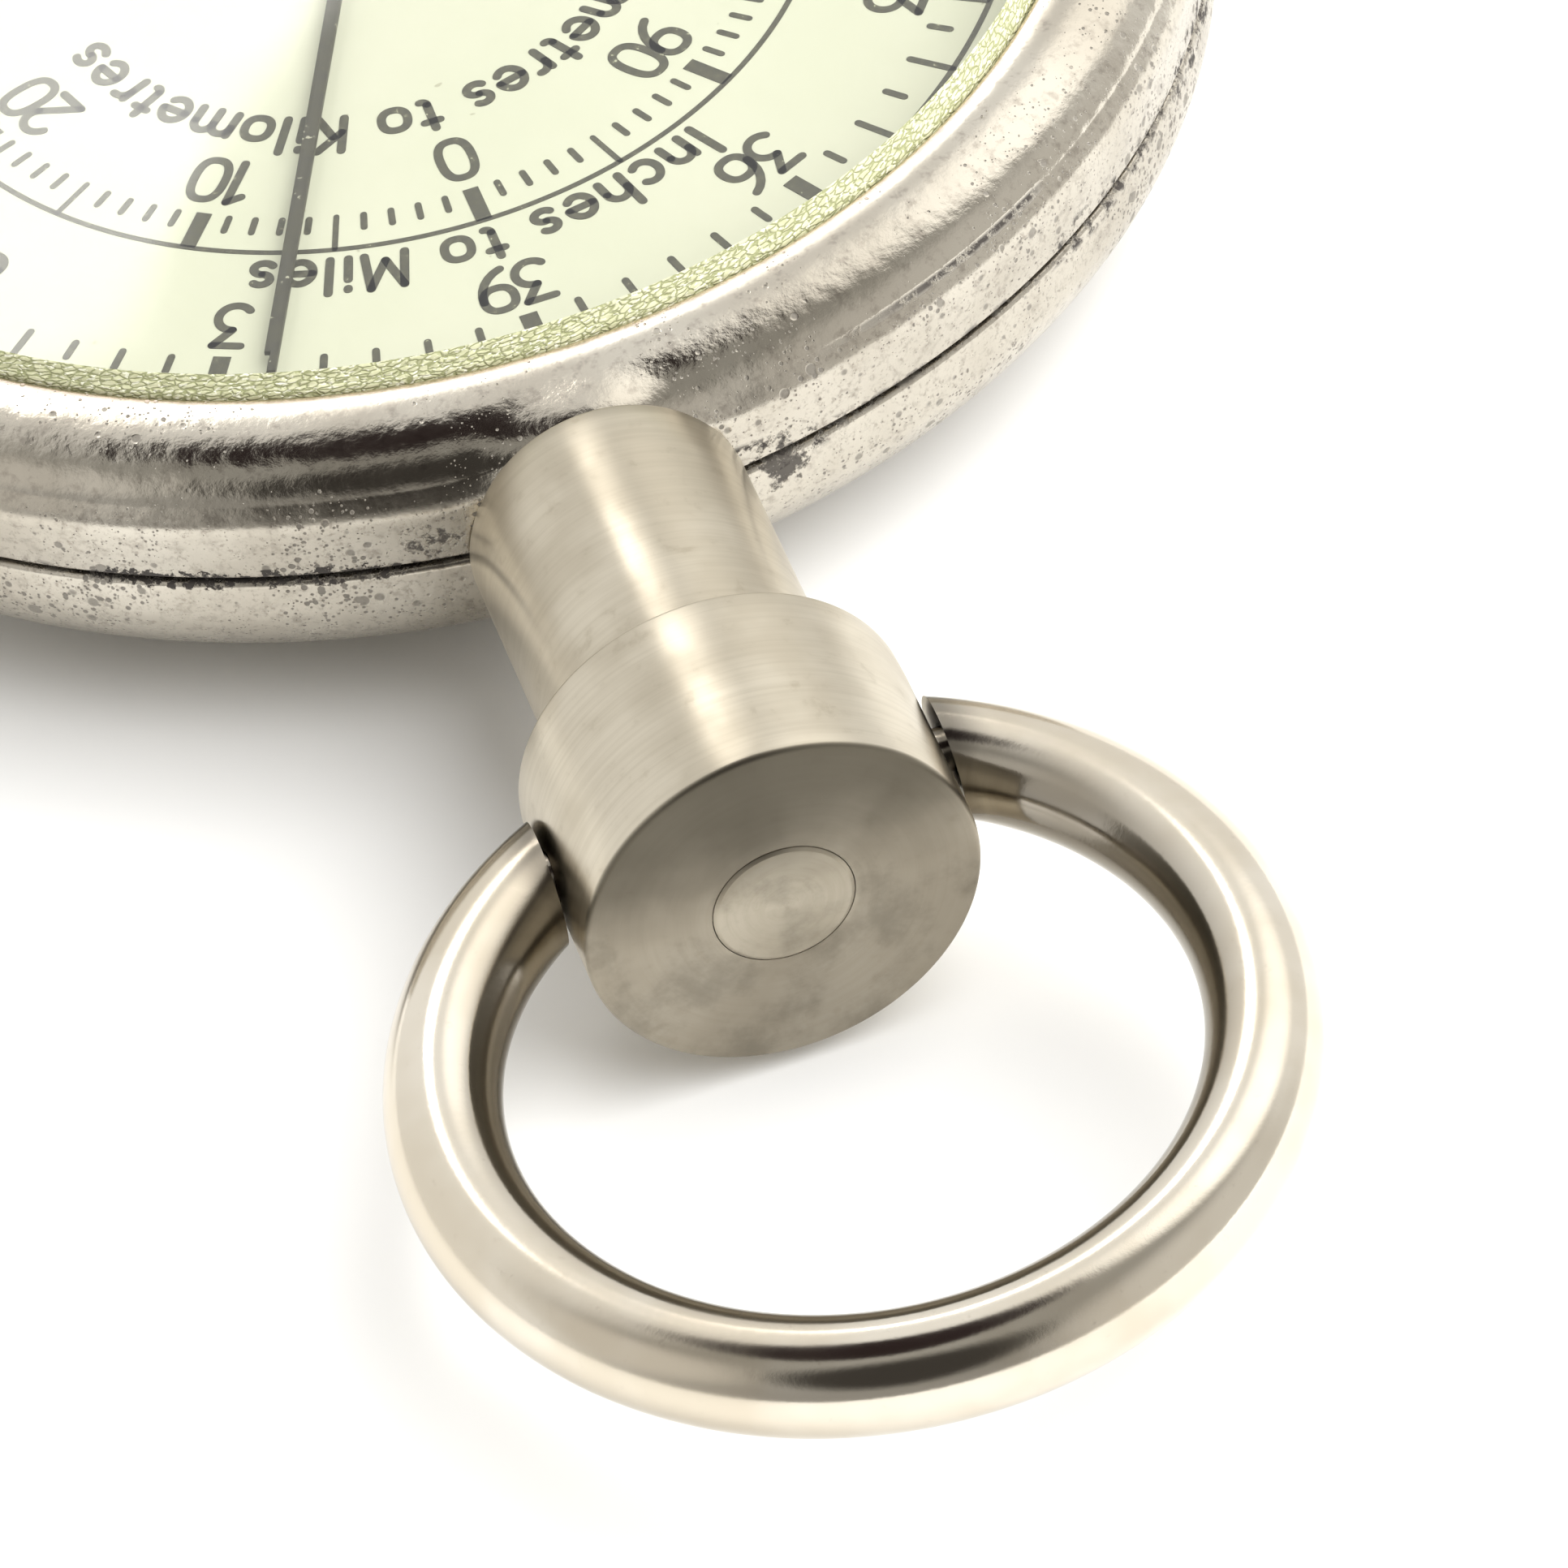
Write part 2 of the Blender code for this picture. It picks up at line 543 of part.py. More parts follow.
def tracing_wheel():
    low, high = TRACING_WHEEL_Z
    points = []
    for knurl in range(2 * TRACING_WHEEL_KNURLS):
        radius = TRACING_WHEEL_RADIUS - KNURL_DEPTH * (knurl % 2)
        points.append(on_circle(radius, 360.0 * knurl / (2 * TRACING_WHEEL_KNURLS)))
    points = [(x, y + AXLE_Y) for x, y in points]
    wheel = new_object("tracing_wheel", extruded_bmesh(points, low, high), steel())
    place = (0.0, AXLE_Y, SIDE_ARBOR_RADIUS + FIT_GAP, low - OVERRUN, high + OVERRUN)
    combine(wheel, rods("tracing_wheel_bore", [place], PIN_STEPS), "DIFFERENCE")


def hand():
    """A straight strip through the arbor, stepped to a narrower tip on one edge."""
    half = HAND_WIDTH / 2
    outline = [(-half, -HAND_TAIL), (half, -HAND_TAIL), (half, HAND_TIP_RADIUS),
               (half - HAND_TIP_WIDTH, HAND_TIP_RADIUS), (half - HAND_TIP_WIDTH, HAND_STEP_RADIUS),
               (-half, HAND_STEP_RADIUS)]
    turn = -math.radians(180.0 + HAND_DIRECTION_DEG)
    placed = [(x * math.cos(turn) - y * math.sin(turn), x * math.sin(turn) + y * math.cos(turn))
              for x, y in outline]
    look = material("hand", (0.09, 0.085, 0.06), 0.4, 0.3)
    top = HAND_Z + HAND_THICKNESS
    strip = new_object("hand", extruded_bmesh(placed, HAND_Z, top), look)
    eye = rods("hand_eye", [(0.0, 0.0, HAND_EYE_RADIUS, HAND_Z, top)], MID_STEPS)
    combine(strip, eye, "UNION")
    bore = (0.0, 0.0, HAND_EYE_BORE_RADIUS, HAND_Z - OVERRUN, top + OVERRUN)
    combine(strip, rods("hand_bore", [bore], PIN_STEPS), "DIFFERENCE")


def hand_boss():
    """A bush on the hand post, with a flange under the hand's eye and a riveted cap over it."""
    low, high = HAND_BOSS_Z
    bore = HAND_POST_RADIUS + FIT_GAP
    flange_top = HAND_Z - HAND_BOSS_GRIP
    cap_bottom = HAND_Z + HAND_THICKNESS + HAND_BOSS_GRIP
    outline = [(bore, low), (HAND_BOSS_FLANGE_RADIUS, low), (HAND_BOSS_FLANGE_RADIUS, flange_top),
               (HAND_BOSS_BARREL_RADIUS, flange_top), (HAND_BOSS_BARREL_RADIUS, cap_bottom),
               (HAND_BOSS_CAP_RADIUS, cap_bottom), (HAND_BOSS_CAP_RADIUS, high), (bore, high)]
    turned("hand_boss", outline, PIN_STEPS, brass(), loop=True)


def neck():
    outline = [(STEM_BORE_RADIUS, NECK_BLANK_Y), (NECK_RADIUS, NECK_BLANK_Y), (NECK_RADIUS, NECK_END_Y),
               (STEM_BORE_RADIUS, NECK_END_Y)]
    tube = turned_along_stem("neck", outline, MID_STEPS, satin_nickel(), loop=True)
    above = STEM_Z + 2 * NECK_RADIUS
    saddle = [(0.0, -OVERRUN), (BACK_FLAT_RADIUS, -OVERRUN)]
    saddle += back_arc(-SADDLE_GAP, *SADDLE_ARC_DEG, PROFILE_STEPS)
    saddle += [(SADDLE_RADIUS, BACK_SPRING_Z), (SADDLE_RADIUS, above), (0.0, above)]
    combine(tube, turned("neck_saddle", saddle, CASE_STEPS), "DIFFERENCE")
    spigot = [(STEM_BORE_RADIUS, SPIGOT_END_Y), (SPIGOT_RADIUS, SPIGOT_END_Y), (SPIGOT_RADIUS, SPIGOT_ROOT_Y),
              (STEM_BORE_RADIUS, SPIGOT_ROOT_Y)]
    combine(tube, turned_along_stem("neck_spigot", spigot, MID_STEPS, loop=True), "UNION")


def head():
    rim = HEAD_RADIUS - HEAD_CHAMFER
    outline = [(STEM_BORE_RADIUS, HEAD_START_Y), (rim, HEAD_START_Y),
               (HEAD_RADIUS, HEAD_START_Y - HEAD_CHAMFER), (HEAD_RADIUS, HEAD_END_Y + HEAD_CHAMFER),
               (rim, HEAD_END_Y), (STEM_BORE_RADIUS, HEAD_END_Y)]
    body = turned_along_stem("head", outline, MID_STEPS, satin_nickel(), loop=True)
    socket_x = (HEAD_RADIUS - SOCKET_DEPTH, HEAD_RADIUS + OVERRUN)
    for side, word in SIDES:
        pocket = side_pin("socket_" + word, side, SOCKET_RADIUS, *socket_x, BOW_HINGE_Y, STEM_Z)
        combine(body, pocket, "DIFFERENCE")


def stem_rivet():
    inner_y, outer_y = RIVET_HEAD_Y[1], RIVET_HEAD_Y[0]
    outline = [(0.0, inner_y), (RIVET_HEAD_RADIUS, inner_y), (RIVET_HEAD_RADIUS, outer_y),
               (RIVET_RADIUS, outer_y), (RIVET_RADIUS, RIVET_END_Y), (0.0, RIVET_END_Y)]
    turned_along_stem("stem_rivet", outline, MID_STEPS, satin_nickel())


def bow():
    """A wire ring, open at the head, with a pintle along X at each end; it turns about those pintles."""
    pivot = bpy.data.objects.new("bow_pivot", None)
    pivot.location = (0.0, BOW_HINGE_Y * MM, STEM_Z * MM)
    pivot.rotation_euler = (math.radians(BOW_DROOP_DEG), 0.0, 0.0)
    bpy.context.scene.collection.objects.link(pivot)
    first = math.asin((BOW_END_X - BOW_OVERLAP) / BOW_RADIUS)
    rings = []
    bm = bmesh.new()
    for step in range(BOW_ARC_STEPS + 1):
        turn = first + (TURN - 2 * first) * step / BOW_ARC_STEPS
        out = Vector((math.sin(turn), math.cos(turn), 0.0))
        middle = Vector((0.0, BOW_CENTRE_Y, 0.0)) + BOW_RADIUS * out
        ring = []
        for side in range(BOW_WIRE_STEPS):
            angle = TURN * side / BOW_WIRE_STEPS
            offset = BOW_WIRE_RADIUS * (math.cos(angle) * out + math.sin(angle) * Vector((0.0, 0.0, 1.0)))
            ring.append(bm.verts.new(middle + offset))
        rings.append(ring)
    for ring, following in zip(rings, rings[1:]):
        for side in range(BOW_WIRE_STEPS):
            after = (side + 1) % BOW_WIRE_STEPS
            bm.faces.new((ring[side], ring[after], following[after], following[side]))
    bm.faces.new(rings[0])
    bm.faces.new(rings[-1])
    wire = new_object("bow", bm, material("bow_nickel", (0.68, 0.64, 0.57), 0.16, 1.0))
    wire.parent = pivot
    low, high = BOW_GAP_BLOCK
    gap = block("bow_gap", (-BOW_END_X, *low), (BOW_END_X, *high))
    gap.parent = pivot
    combine(wire, gap, "DIFFERENCE")
    pintle_x = (HEAD_RADIUS - SOCKET_DEPTH + PINTLE_END_GAP, BOW_END_X + PINTLE_OVERLAP)
    for side, word in SIDES:
        pintle = side_pin("pintle_" + word, side, PINTLE_RADIUS, *pintle_x, 0.0, 0.0)
        pintle.parent = pivot
        combine(wire, pintle, "UNION")


def main():
    clear_scene()
    hole = stem_hole()
    window = wheel_window()
    front_shell(hole, window)
    back_cover(hole, window)
    crystal()
    crystal_seal()
    dial()
    plates()
    pillars_and_screws()
    movement_screws()
    gear_train()
    tracing_wheel()
    hand()
    hand_boss()
    neck()
    head()
    stem_rivet()
    bow()


main()
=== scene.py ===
import math

import bmesh
import bpy
from mathutils import Matrix, Vector


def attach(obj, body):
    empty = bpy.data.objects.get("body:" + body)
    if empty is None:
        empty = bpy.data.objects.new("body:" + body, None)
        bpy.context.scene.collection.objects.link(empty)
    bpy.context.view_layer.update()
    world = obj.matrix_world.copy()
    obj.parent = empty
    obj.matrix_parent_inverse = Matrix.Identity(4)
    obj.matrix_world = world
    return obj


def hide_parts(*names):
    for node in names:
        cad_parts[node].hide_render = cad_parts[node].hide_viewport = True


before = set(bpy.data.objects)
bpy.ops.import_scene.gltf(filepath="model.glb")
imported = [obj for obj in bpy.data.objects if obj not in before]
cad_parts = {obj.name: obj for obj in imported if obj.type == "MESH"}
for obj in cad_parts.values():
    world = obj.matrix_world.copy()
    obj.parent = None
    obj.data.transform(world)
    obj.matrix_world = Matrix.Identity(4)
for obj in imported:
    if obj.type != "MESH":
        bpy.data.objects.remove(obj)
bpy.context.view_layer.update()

# The looks of a pocket map measurer: fine meshes in the places of the visible CAD nodes, the dial's
# print, worn metal, a white studio floor, soft light and the camera. Sizes are in millimetres unless a
# name says otherwise. +Z points out of the dial, and the stem and the bow lie along -Y.

MM = 0.001
TURN = 2.0 * math.pi

# Smoothness of the fine meshes
CASE_STEPS = 480
STEM_STEPS = 160
WIRE_STEPS = 48
BOW_STEPS = 288
CORNER_STEPS = 5
MERGE_DISTANCE = 1e-5
CREASE_DEG = 32.0

# Case
CASE_RADIUS = 15.75
LIP_INNER_RADIUS = 13.55
LIP_TOP_Z = 6.28
LIP_OUTER_RADIUS = 13.90
ROLL_SPRING_Z = 5.20
ROLL_WIDTH = 1.66
ROLL_END_DEG = 17.0
SWELL_HALF_WIDTH = 4.6
BAND_TOP_Z = 5.18
SHELF_INNER_RADIUS = 13.00
SHELF_OUTER_RADIUS = 14.70
SHELF_Z = (5.35, 5.85)
SHELL_BOTTOM_Z = 3.96
SHELL_BOTTOM_RADIUS = 15.68
SHELL_INNER_RADIUS = 15.10
SHELL_CORNER_Z = 4.95
SEAM_Z = (3.84, 3.96)
BACK_FLAT_RADIUS = 9.44
BACK_SPRING_Z = 3.20
BACK_WALL = 0.60
COLLAR_RADII = (14.45, 15.02)
COLLAR_Z = (3.40, 4.60)
WINDOW_HALF_WIDTH = 3.50
WINDOW_Y = (12.40, 16.75)
WINDOW_Z = (1.15, 4.85)

# Crystal, its ring and the dial
SEAL_RADII = (13.26, 13.50)
SEAL_BOTTOM_Z = 5.90
SEAL_TOP_Z = (6.28, 6.61)
CRYSTAL_RADIUS = 13.20
CRYSTAL_EDGE_TOP_Z = 6.50
CRYSTAL_RISE = 0.90
CRYSTAL_THICKNESS = 0.55
DIAL_RADIUS = 13.22
DIAL_TOP_Z = 5.19
DIAL_THICKNESS = 0.40
DIAL_BORE_RADIUS = 0.55
DIAL_FEET = ((10.60, 0.0), (10.60, 250.0))
DIAL_FOOT_RADIUS = 0.40
DIAL_FOOT_BOTTOM_Z = 4.15

# Print on the dial. A tick is its inner end, outer end and width. A legend is its words, the radius of
# their middle line and the angle they take on each side of the stem's direction.
PRINT_THICKNESS = 0.012
PRINT_SINK = 0.004
INNER_CIRCLE_RADIUS = 8.65
OUTER_CIRCLE_RADIUS = 12.27
CIRCLE_LINE = 0.105
INCHES_ROUND = 39
NUMBERED_INCHES = 3
CM_ROUND = 100
NUMERAL_HEIGHT = 1.12
LETTER_HEIGHT = 0.95
PEN_WIDTH = 0.165
INCH_NUMBER_RADIUS = 10.55
NUMBERED_INCH_TICK = (11.35, OUTER_CIRCLE_RADIUS, 0.33)
INCH_TICK = (11.42, OUTER_CIRCLE_RADIUS, 0.14)
HALF_INCH_TICK = (11.42, 11.80, 0.14)
INCH_LEGEND = ("Inches to Miles", 9.36, 27.6)
CM_NUMBER_RADIUS = 6.88
TEN_CM_TICK = (7.74, INNER_CIRCLE_RADIUS, 0.29)
FIVE_CM_TICK = (7.78, INNER_CIRCLE_RADIUS, 0.105)
CM_TICK = (7.80, 8.14, 0.125)
CM_LEGEND = ("Centimetres to Kilometres", 5.58, 80.0)

# Hand
HAND_DIRECTION_DEG = 22.85
HAND_Z = (5.42, 5.52)
HAND_HALF_WIDTH = 0.13
HAND_TAIL = -2.60
HAND_STEP = 11.55
HAND_TIP = 12.05
HAND_TIP_CUT = 0.15
HAND_EDGE = 0.02
HAND_EYE_RADII = (0.58, 0.85)
BOSS_RADII = (0.33, 0.95, 0.54, 0.76)
BOSS_Z = (5.30, 5.40, 5.54, 5.80)

# Stem
STEM_Z = 3.81
NECK_RADIUS = 2.54
SADDLE_RADIUS = 15.765
NECK_OVER_TOP = 0.36
NECK_END_Y = -21.64
SPIGOT_RADIUS = 1.88
SPIGOT_END_Y = -14.95
HEAD_RADIUS = 3.485
HEAD_Y = (-21.68, -25.72)
FACE_RINGS = 9
FACE_RING_DEPTH = 0.003
STEM_BORE_RADIUS = 1.26
RIVET_RADIUS = 1.20
RIVET_HEAD_RADIUS = 1.70
RIVET_HEAD_Y = (-14.86, -14.36)
RIVET_END_Y = -25.76

# Bow
BOW_HINGE_Y = -23.59
BOW_RADIUS = 6.83
BOW_WIRE_RADIUS = 1.00
BOW_END_X = 3.54
BOW_CENTRE_Y = -5.79
BOW_DROOP_DEG = 2.05
PINTLE_RADIUS = 0.55
SOCKET_RADIUS = 0.61
SOCKET_DEPTH = 1.00
PINTLE_END_GAP = 0.12

# Tracing wheel and the movement's arbors
INTERMEDIATE_Y = 7.5555
AXLE_Y = 15.0015
WHEEL_RADIUS = 20.0 / TURN
WHEEL_Z = (2.75, 3.65)
WHEEL_BORE_RADIUS = 0.38
WHEEL_KNURLS = 40
KNURL_DEPTH = 0.10
WHEEL_CHAMFER = 0.08


# -------------------- mesh helpers

def arc(centre, half_width, half_height, start_deg, end_deg, steps):
    """Points along an elliptical arc."""
    points = []
    for step in range(steps + 1):
        angle = math.radians(start_deg + (end_deg - start_deg) * step / steps)
        points.append((centre[0] + half_width * math.cos(angle), centre[1] + half_height * math.sin(angle)))
    return points


def rounded(corners, loop=False):
    """The outline through corners (a, b, radius), each of them rounded by an arc of its radius."""
    outline = []
    for index, (a, b, radius) in enumerate(corners):
        here = Vector((a, b))
        end_point = not loop and index in (0, len(corners) - 1)
        if radius == 0 or end_point:
            outline.append((a, b))
            continue
        back = (Vector(corners[index - 1][:2]) - here).normalized()
        ahead = (Vector(corners[(index + 1) % len(corners)][:2]) - here).normalized()
        half = back.angle(ahead) / 2
        centre = here + (back + ahead).normalized() * radius / math.sin(half)
        start = here + back * radius / math.tan(half) - centre
        end = here + ahead * radius / math.tan(half) - centre
        bend = start.angle(end)
        for step in range(CORNER_STEPS + 1):
            share = step / CORNER_STEPS
            mixed = start * math.sin((1 - share) * bend) + end * math.sin(share * bend)
            outline.append(tuple(centre + mixed / math.sin(bend)))
    return outline


def loft(bm, rings, loop=False):
    """Faces between rings of points, whose rows of vertices it returns."""
    rows = [[bm.verts.new(point) for point in ring] for ring in rings]
    pairs = list(zip(rows, rows[1:]))
    if loop:
        pairs.append((rows[-1], rows[0]))
    for row, following in pairs:
        for index in range(len(row)):
            after = (index + 1) % len(row)
            bm.faces.new((row[index], row[after], following[after], following[index]))
    return rows


def upright(radius, height, angle):
    return Vector((radius * math.cos(angle), radius * math.sin(angle), height))


def along_stem(radius, height, angle):
    return Vector((radius * math.sin(angle), height, STEM_Z + radius * math.cos(angle)))


def turned(outline, steps, place=upright, loop=False):
    """A mesh of the outline (radius, height) turned round an axis."""
    bm = bmesh.new()
    rings = []
    for radius, height in outline:
        rings.append([place(radius, height, TURN * step / steps) for step in range(steps)])
    loft(bm, rings, loop)
    return bm


def disc(radius, low, high, centre=(0.0, 0.0), steps=32):
    """A mesh of an upright disc."""
    bm = turned([(0.0, low), (radius, low), (radius, high), (0.0, high)], steps)
    bmesh.ops.translate(bm, verts=bm.verts, vec=(*centre, 0.0))
    return bm


def finished_mesh(name, bm, crease_deg):
    bmesh.ops.remove_doubles(bm, verts=bm.verts, dist=MERGE_DISTANCE)
    bmesh.ops.recalc_face_normals(bm, faces=bm.faces)
    mesh = bpy.data.meshes.new(name)
    bm.to_mesh(mesh)
    bm.free()
    mesh.transform(Matrix.Scale(MM, 4))
    mesh.shade_smooth()
    mesh.set_sharp_from_angle(angle=math.radians(crease_deg))
    return mesh


def add_object(name, bm, crease_deg=CREASE_DEG):
    made = bpy.data.objects.new(name, finished_mesh(name, bm, crease_deg))
    bpy.context.scene.collection.objects.link(made)
    return made


def cut(thing, tool_bm, operation="DIFFERENCE"):
    """Cuts or joins a mesh into thing and leaves nothing of the tool behind."""
    tool = add_object(thing.name + "_tool", tool_bm)
    change = thing.modifiers.new("cut", "BOOLEAN")
    change.operation = operation
    change.solver = "EXACT"
    change.object = tool
    bpy.context.view_layer.update()
    shaped = bpy.data.meshes.new_from_object(thing.evaluated_get(bpy.context.evaluated_depsgraph_get()))
    thing.modifiers.remove(change)
    thing.data = shaped
    bpy.data.objects.remove(tool)
    shaped.shade_smooth()
    shaped.set_sharp_from_angle(angle=math.radians(CREASE_DEG))


def dress(thing, look, body, nodes=()):
    """Gives a piece its material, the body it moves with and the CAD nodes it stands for."""
    thing.data.materials.clear()
    thing.data.materials.append(look)
    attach(thing, body)
    if nodes:
        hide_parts(*nodes)
    return thing


# -------------------- material helpers

class Tree:
    """Short calls for one node tree."""

    def __init__(self, owner):
        owner.use_nodes = True
        self.tree = owner.node_tree
        self.tree.nodes.clear()

    def add(self, kind, inputs=None, **settings):
        made = self.tree.nodes.new(kind)
        for name, value in settings.items():
            setattr(made, name, value)
        for key, value in (inputs or {}).items():
            if isinstance(value, bpy.types.NodeSocket):
                self.tree.links.new(value, made.inputs[key])
            else:
                made.inputs[key].default_value = value
        return made

    def math(self, operation, first, second=0.0):
        return self.add("ShaderNodeMath", {0: first, 1: second}, operation=operation).outputs[0]

    def plus(self, first, second):
        return self.math("ADD", first, second)

    def minus(self, first, second):
        return self.math("SUBTRACT", first, second)

    def times(self, first, second):
        return self.math("MULTIPLY", first, second)

    def larger(self, first, second):
        return self.math("MAXIMUM", first, second)

    def between(self, value, low, high, start=0.0, end=1.0):
        """A smooth step of value from low to high, as start to end."""
        sockets = {"Value": value, "From Min": low, "From Max": high, "To Min": start, "To Max": end}
        return self.add("ShaderNodeMapRange", sockets, interpolation_type="SMOOTHSTEP").outputs["Result"]

    def noise(self, place, scale, detail=2.0, roughness=0.5):
        sockets = {"Vector": place, "Scale": scale, "Detail": detail, "Roughness": roughness}
        return self.add("ShaderNodeTexNoise", sockets).outputs["Fac"]

    def blend(self, share, first, second):
        """A mix of two colours."""
        made = self.add("ShaderNodeMix", {0: share}, data_type="RGBA")
        for socket, value in ((made.inputs[6], first), (made.inputs[7], second)):
            if isinstance(value, bpy.types.NodeSocket):
                self.tree.links.new(value, socket)
            else:
                socket.default_value = (*value, 1.0)
        return made.outputs[2]

    def millimetres(self):
        place = self.add("ShaderNodeTexCoord").outputs["Object"]
        return self.add("ShaderNodeVectorMath", {0: place, "Scale": 1 / MM}, operation="SCALE").outputs[0]

    def split(self, place):
        return self.add("ShaderNodeSeparateXYZ", {0: place}).outputs

    def joined(self, x, y, z):
        return self.add("ShaderNodeCombineXYZ", {0: x, 1: y, 2: z}).outputs[0]

    def length(self, a, b):
        return self.math("SQRT", self.plus(self.times(a, a), self.times(b, b)))

    def bump(self, height, strength, distance_mm, under=None):
        sockets = {"Height": height, "Strength": strength, "Distance": distance_mm * MM}
        if under is not None:
            sockets["Normal"] = under
        return self.add("ShaderNodeBump", sockets).outputs[0]

    def surface(self, sockets):
        shader = self.add("ShaderNodeBsdfPrincipled", sockets)
        self.add("ShaderNodeOutputMaterial", {"Surface": shader.outputs[0]})


def new_material(name):
    material = bpy.data.materials.new(name)
    return material, Tree(material)


# -------------------- materials

def pits(t, place, density):
    """Round dark pits of three sizes; the density sets how many of them show and how big they are."""
    dirt = 0.0
    for scale, darkness in ((3.4, 0.50), (7.5, 0.60), (14.0, 0.55)):
        spots = t.add("ShaderNodeTexVoronoi", {"Vector": place, "Scale": scale, "Randomness": 1.0})
        chance = t.split(spots.outputs["Color"])[0]
        reach = t.times(density, t.between(chance, 0.40, 1.0))
        spot = t.between(spots.outputs["Distance"], reach, t.minus(reach, 0.14))
        spot = t.times(spot, t.between(reach, 0.02, 0.10, 0.0, darkness))
        dirt = t.larger(dirt, spot)
    return dirt


def near(t, value, middle, half_width, soft):
    """1 where value is close to middle."""
    off = t.math("ABSOLUTE", t.minus(value, middle))
    return t.between(off, half_width + soft, half_width)


def crust(t, place):
    """Dirt packed in the seam and dark patches round the neck's root, with ragged edges, and a thin painted
    shade line in the crease to the neck's right.
    """
    x, y, z = t.split(place)
    ragged = t.noise(place, 2.6, 5.0, 0.7)
    fine = t.noise(place, 5.0, 4.0, 0.7)
    in_front = t.between(y, -4.0, -7.0)
    off_seam = t.math("ABSOLUTE", t.minus(z, SEAM_Z[1]))
    spread = t.times(t.between(t.noise(place, 0.22, 1.0), 0.45, 0.68), 0.45)
    seam = t.between(t.minus(off_seam, spread), 0.18, 0.02)
    dirt = t.times(seam, t.between(ragged, 0.50, 0.60))
    left_run = t.times(near(t, x, -6.1, 2.2, 0.8), in_front)
    width = t.times(t.between(fine, 0.42, 0.60, 0.02, 0.24), left_run)
    dirt = t.larger(dirt, t.between(t.minus(off_seam, width), 0.03, -0.02))
    for middle_x, middle_z, half_width, half_height in ((-3.15, 4.45, 0.75, 0.50), (3.25, 3.75, 0.85, 0.85)):
        across = t.math("DIVIDE", t.minus(x, middle_x), half_width)
        up = t.math("DIVIDE", t.minus(z, middle_z), half_height)
        spread = t.times(t.between(t.length(across, up), 1.4, 0.2, 0.0, 0.32), in_front)
        dirt = t.larger(dirt, t.between(t.plus(ragged, spread), 0.74, 0.84, 0.0, 0.9))
    # painted shade: a thin dark line along the crease to the right of the neck
    low = t.times(near(t, z, 5.50, 0.02, 0.07), t.between(fine, 0.36, 0.50))
    crease_shade_span = t.times(t.between(x, 3.8, 7.0), t.between(x, 9.4, 8.9))
    return t.larger(dirt, t.times(t.times(low, crease_shade_span), in_front))


def worn_nickel():
    """Old nickel plate: cloudy, pitted, with dirt in the seam, a painted shade line in the crease and copper
    showing at the lip.
    """
    material, t = new_material("worn_nickel")
    place = t.millimetres()
    x, y, z = t.split(place)
    radius = t.length(x, y)
    clouds = t.noise(place, 0.30, 3.0)
    mottle = t.noise(place, 3.5, 4.0, 0.65)
    below_roll = t.between(z, 5.7, 5.2)
    colour = t.blend(t.between(clouds, 0.35, 0.65), (0.60, 0.56, 0.485), (0.50, 0.46, 0.39))
    colour = t.blend(t.between(mottle, 0.50, 0.72, 0.0, 0.55), colour, (0.30, 0.265, 0.225))
    tarnish = t.times(t.between(t.noise(place, 9.0, 3.0, 0.7), 0.52, 0.70), below_roll)
    colour = t.blend(t.times(tarnish, 0.55), colour, (0.25, 0.215, 0.18))
    patches = t.between(t.noise(place, 0.45, 2.0), 0.36, 0.70, 0.0, 0.40)
    density = t.plus(patches, t.times(below_roll, 0.19))
    # the dirt mask also carries the painted shade line in the crease
    dirt = t.larger(pits(t, place, density), crust(t, place))
    colour = t.blend(dirt, colour, (0.060, 0.052, 0.046))
    bare_lip = t.times(t.between(radius, 13.86, 13.70), t.between(z, 6.0, 6.15))
    bare_lip = t.times(bare_lip, t.between(mottle, 0.3, 0.6, 0.55, 0.90))
    colour = t.blend(bare_lip, colour, (0.76, 0.63, 0.545))
    roughness = t.plus(t.between(clouds, 0.3, 0.7, 0.11, 0.18), t.times(dirt, 0.45))
    roughness = t.plus(roughness, t.times(below_roll, 0.12))
    off_lip = t.between(radius, 13.9, 14.6, 0.15, 1.0)
    lumps = t.bump(t.noise(place, 1.2, 2.0, 0.5), t.times(off_lip, 0.30), 0.10)
    peel = t.bump(t.noise(place, 3.6, 2.0, 0.5), t.times(off_lip, 0.26), 0.03, lumps)
    grain = t.bump(t.noise(place, 11.0, 3.0, 0.65), t.times(off_lip, 0.22), 0.02, peel)
    sunk = t.bump(t.minus(1.0, dirt), 0.6, 0.03, grain)
    t.surface({"Base Color": colour, "Metallic": t.minus(1.0, t.times(dirt, 0.8)),
               "Roughness": roughness, "Normal": sunk})
    return material


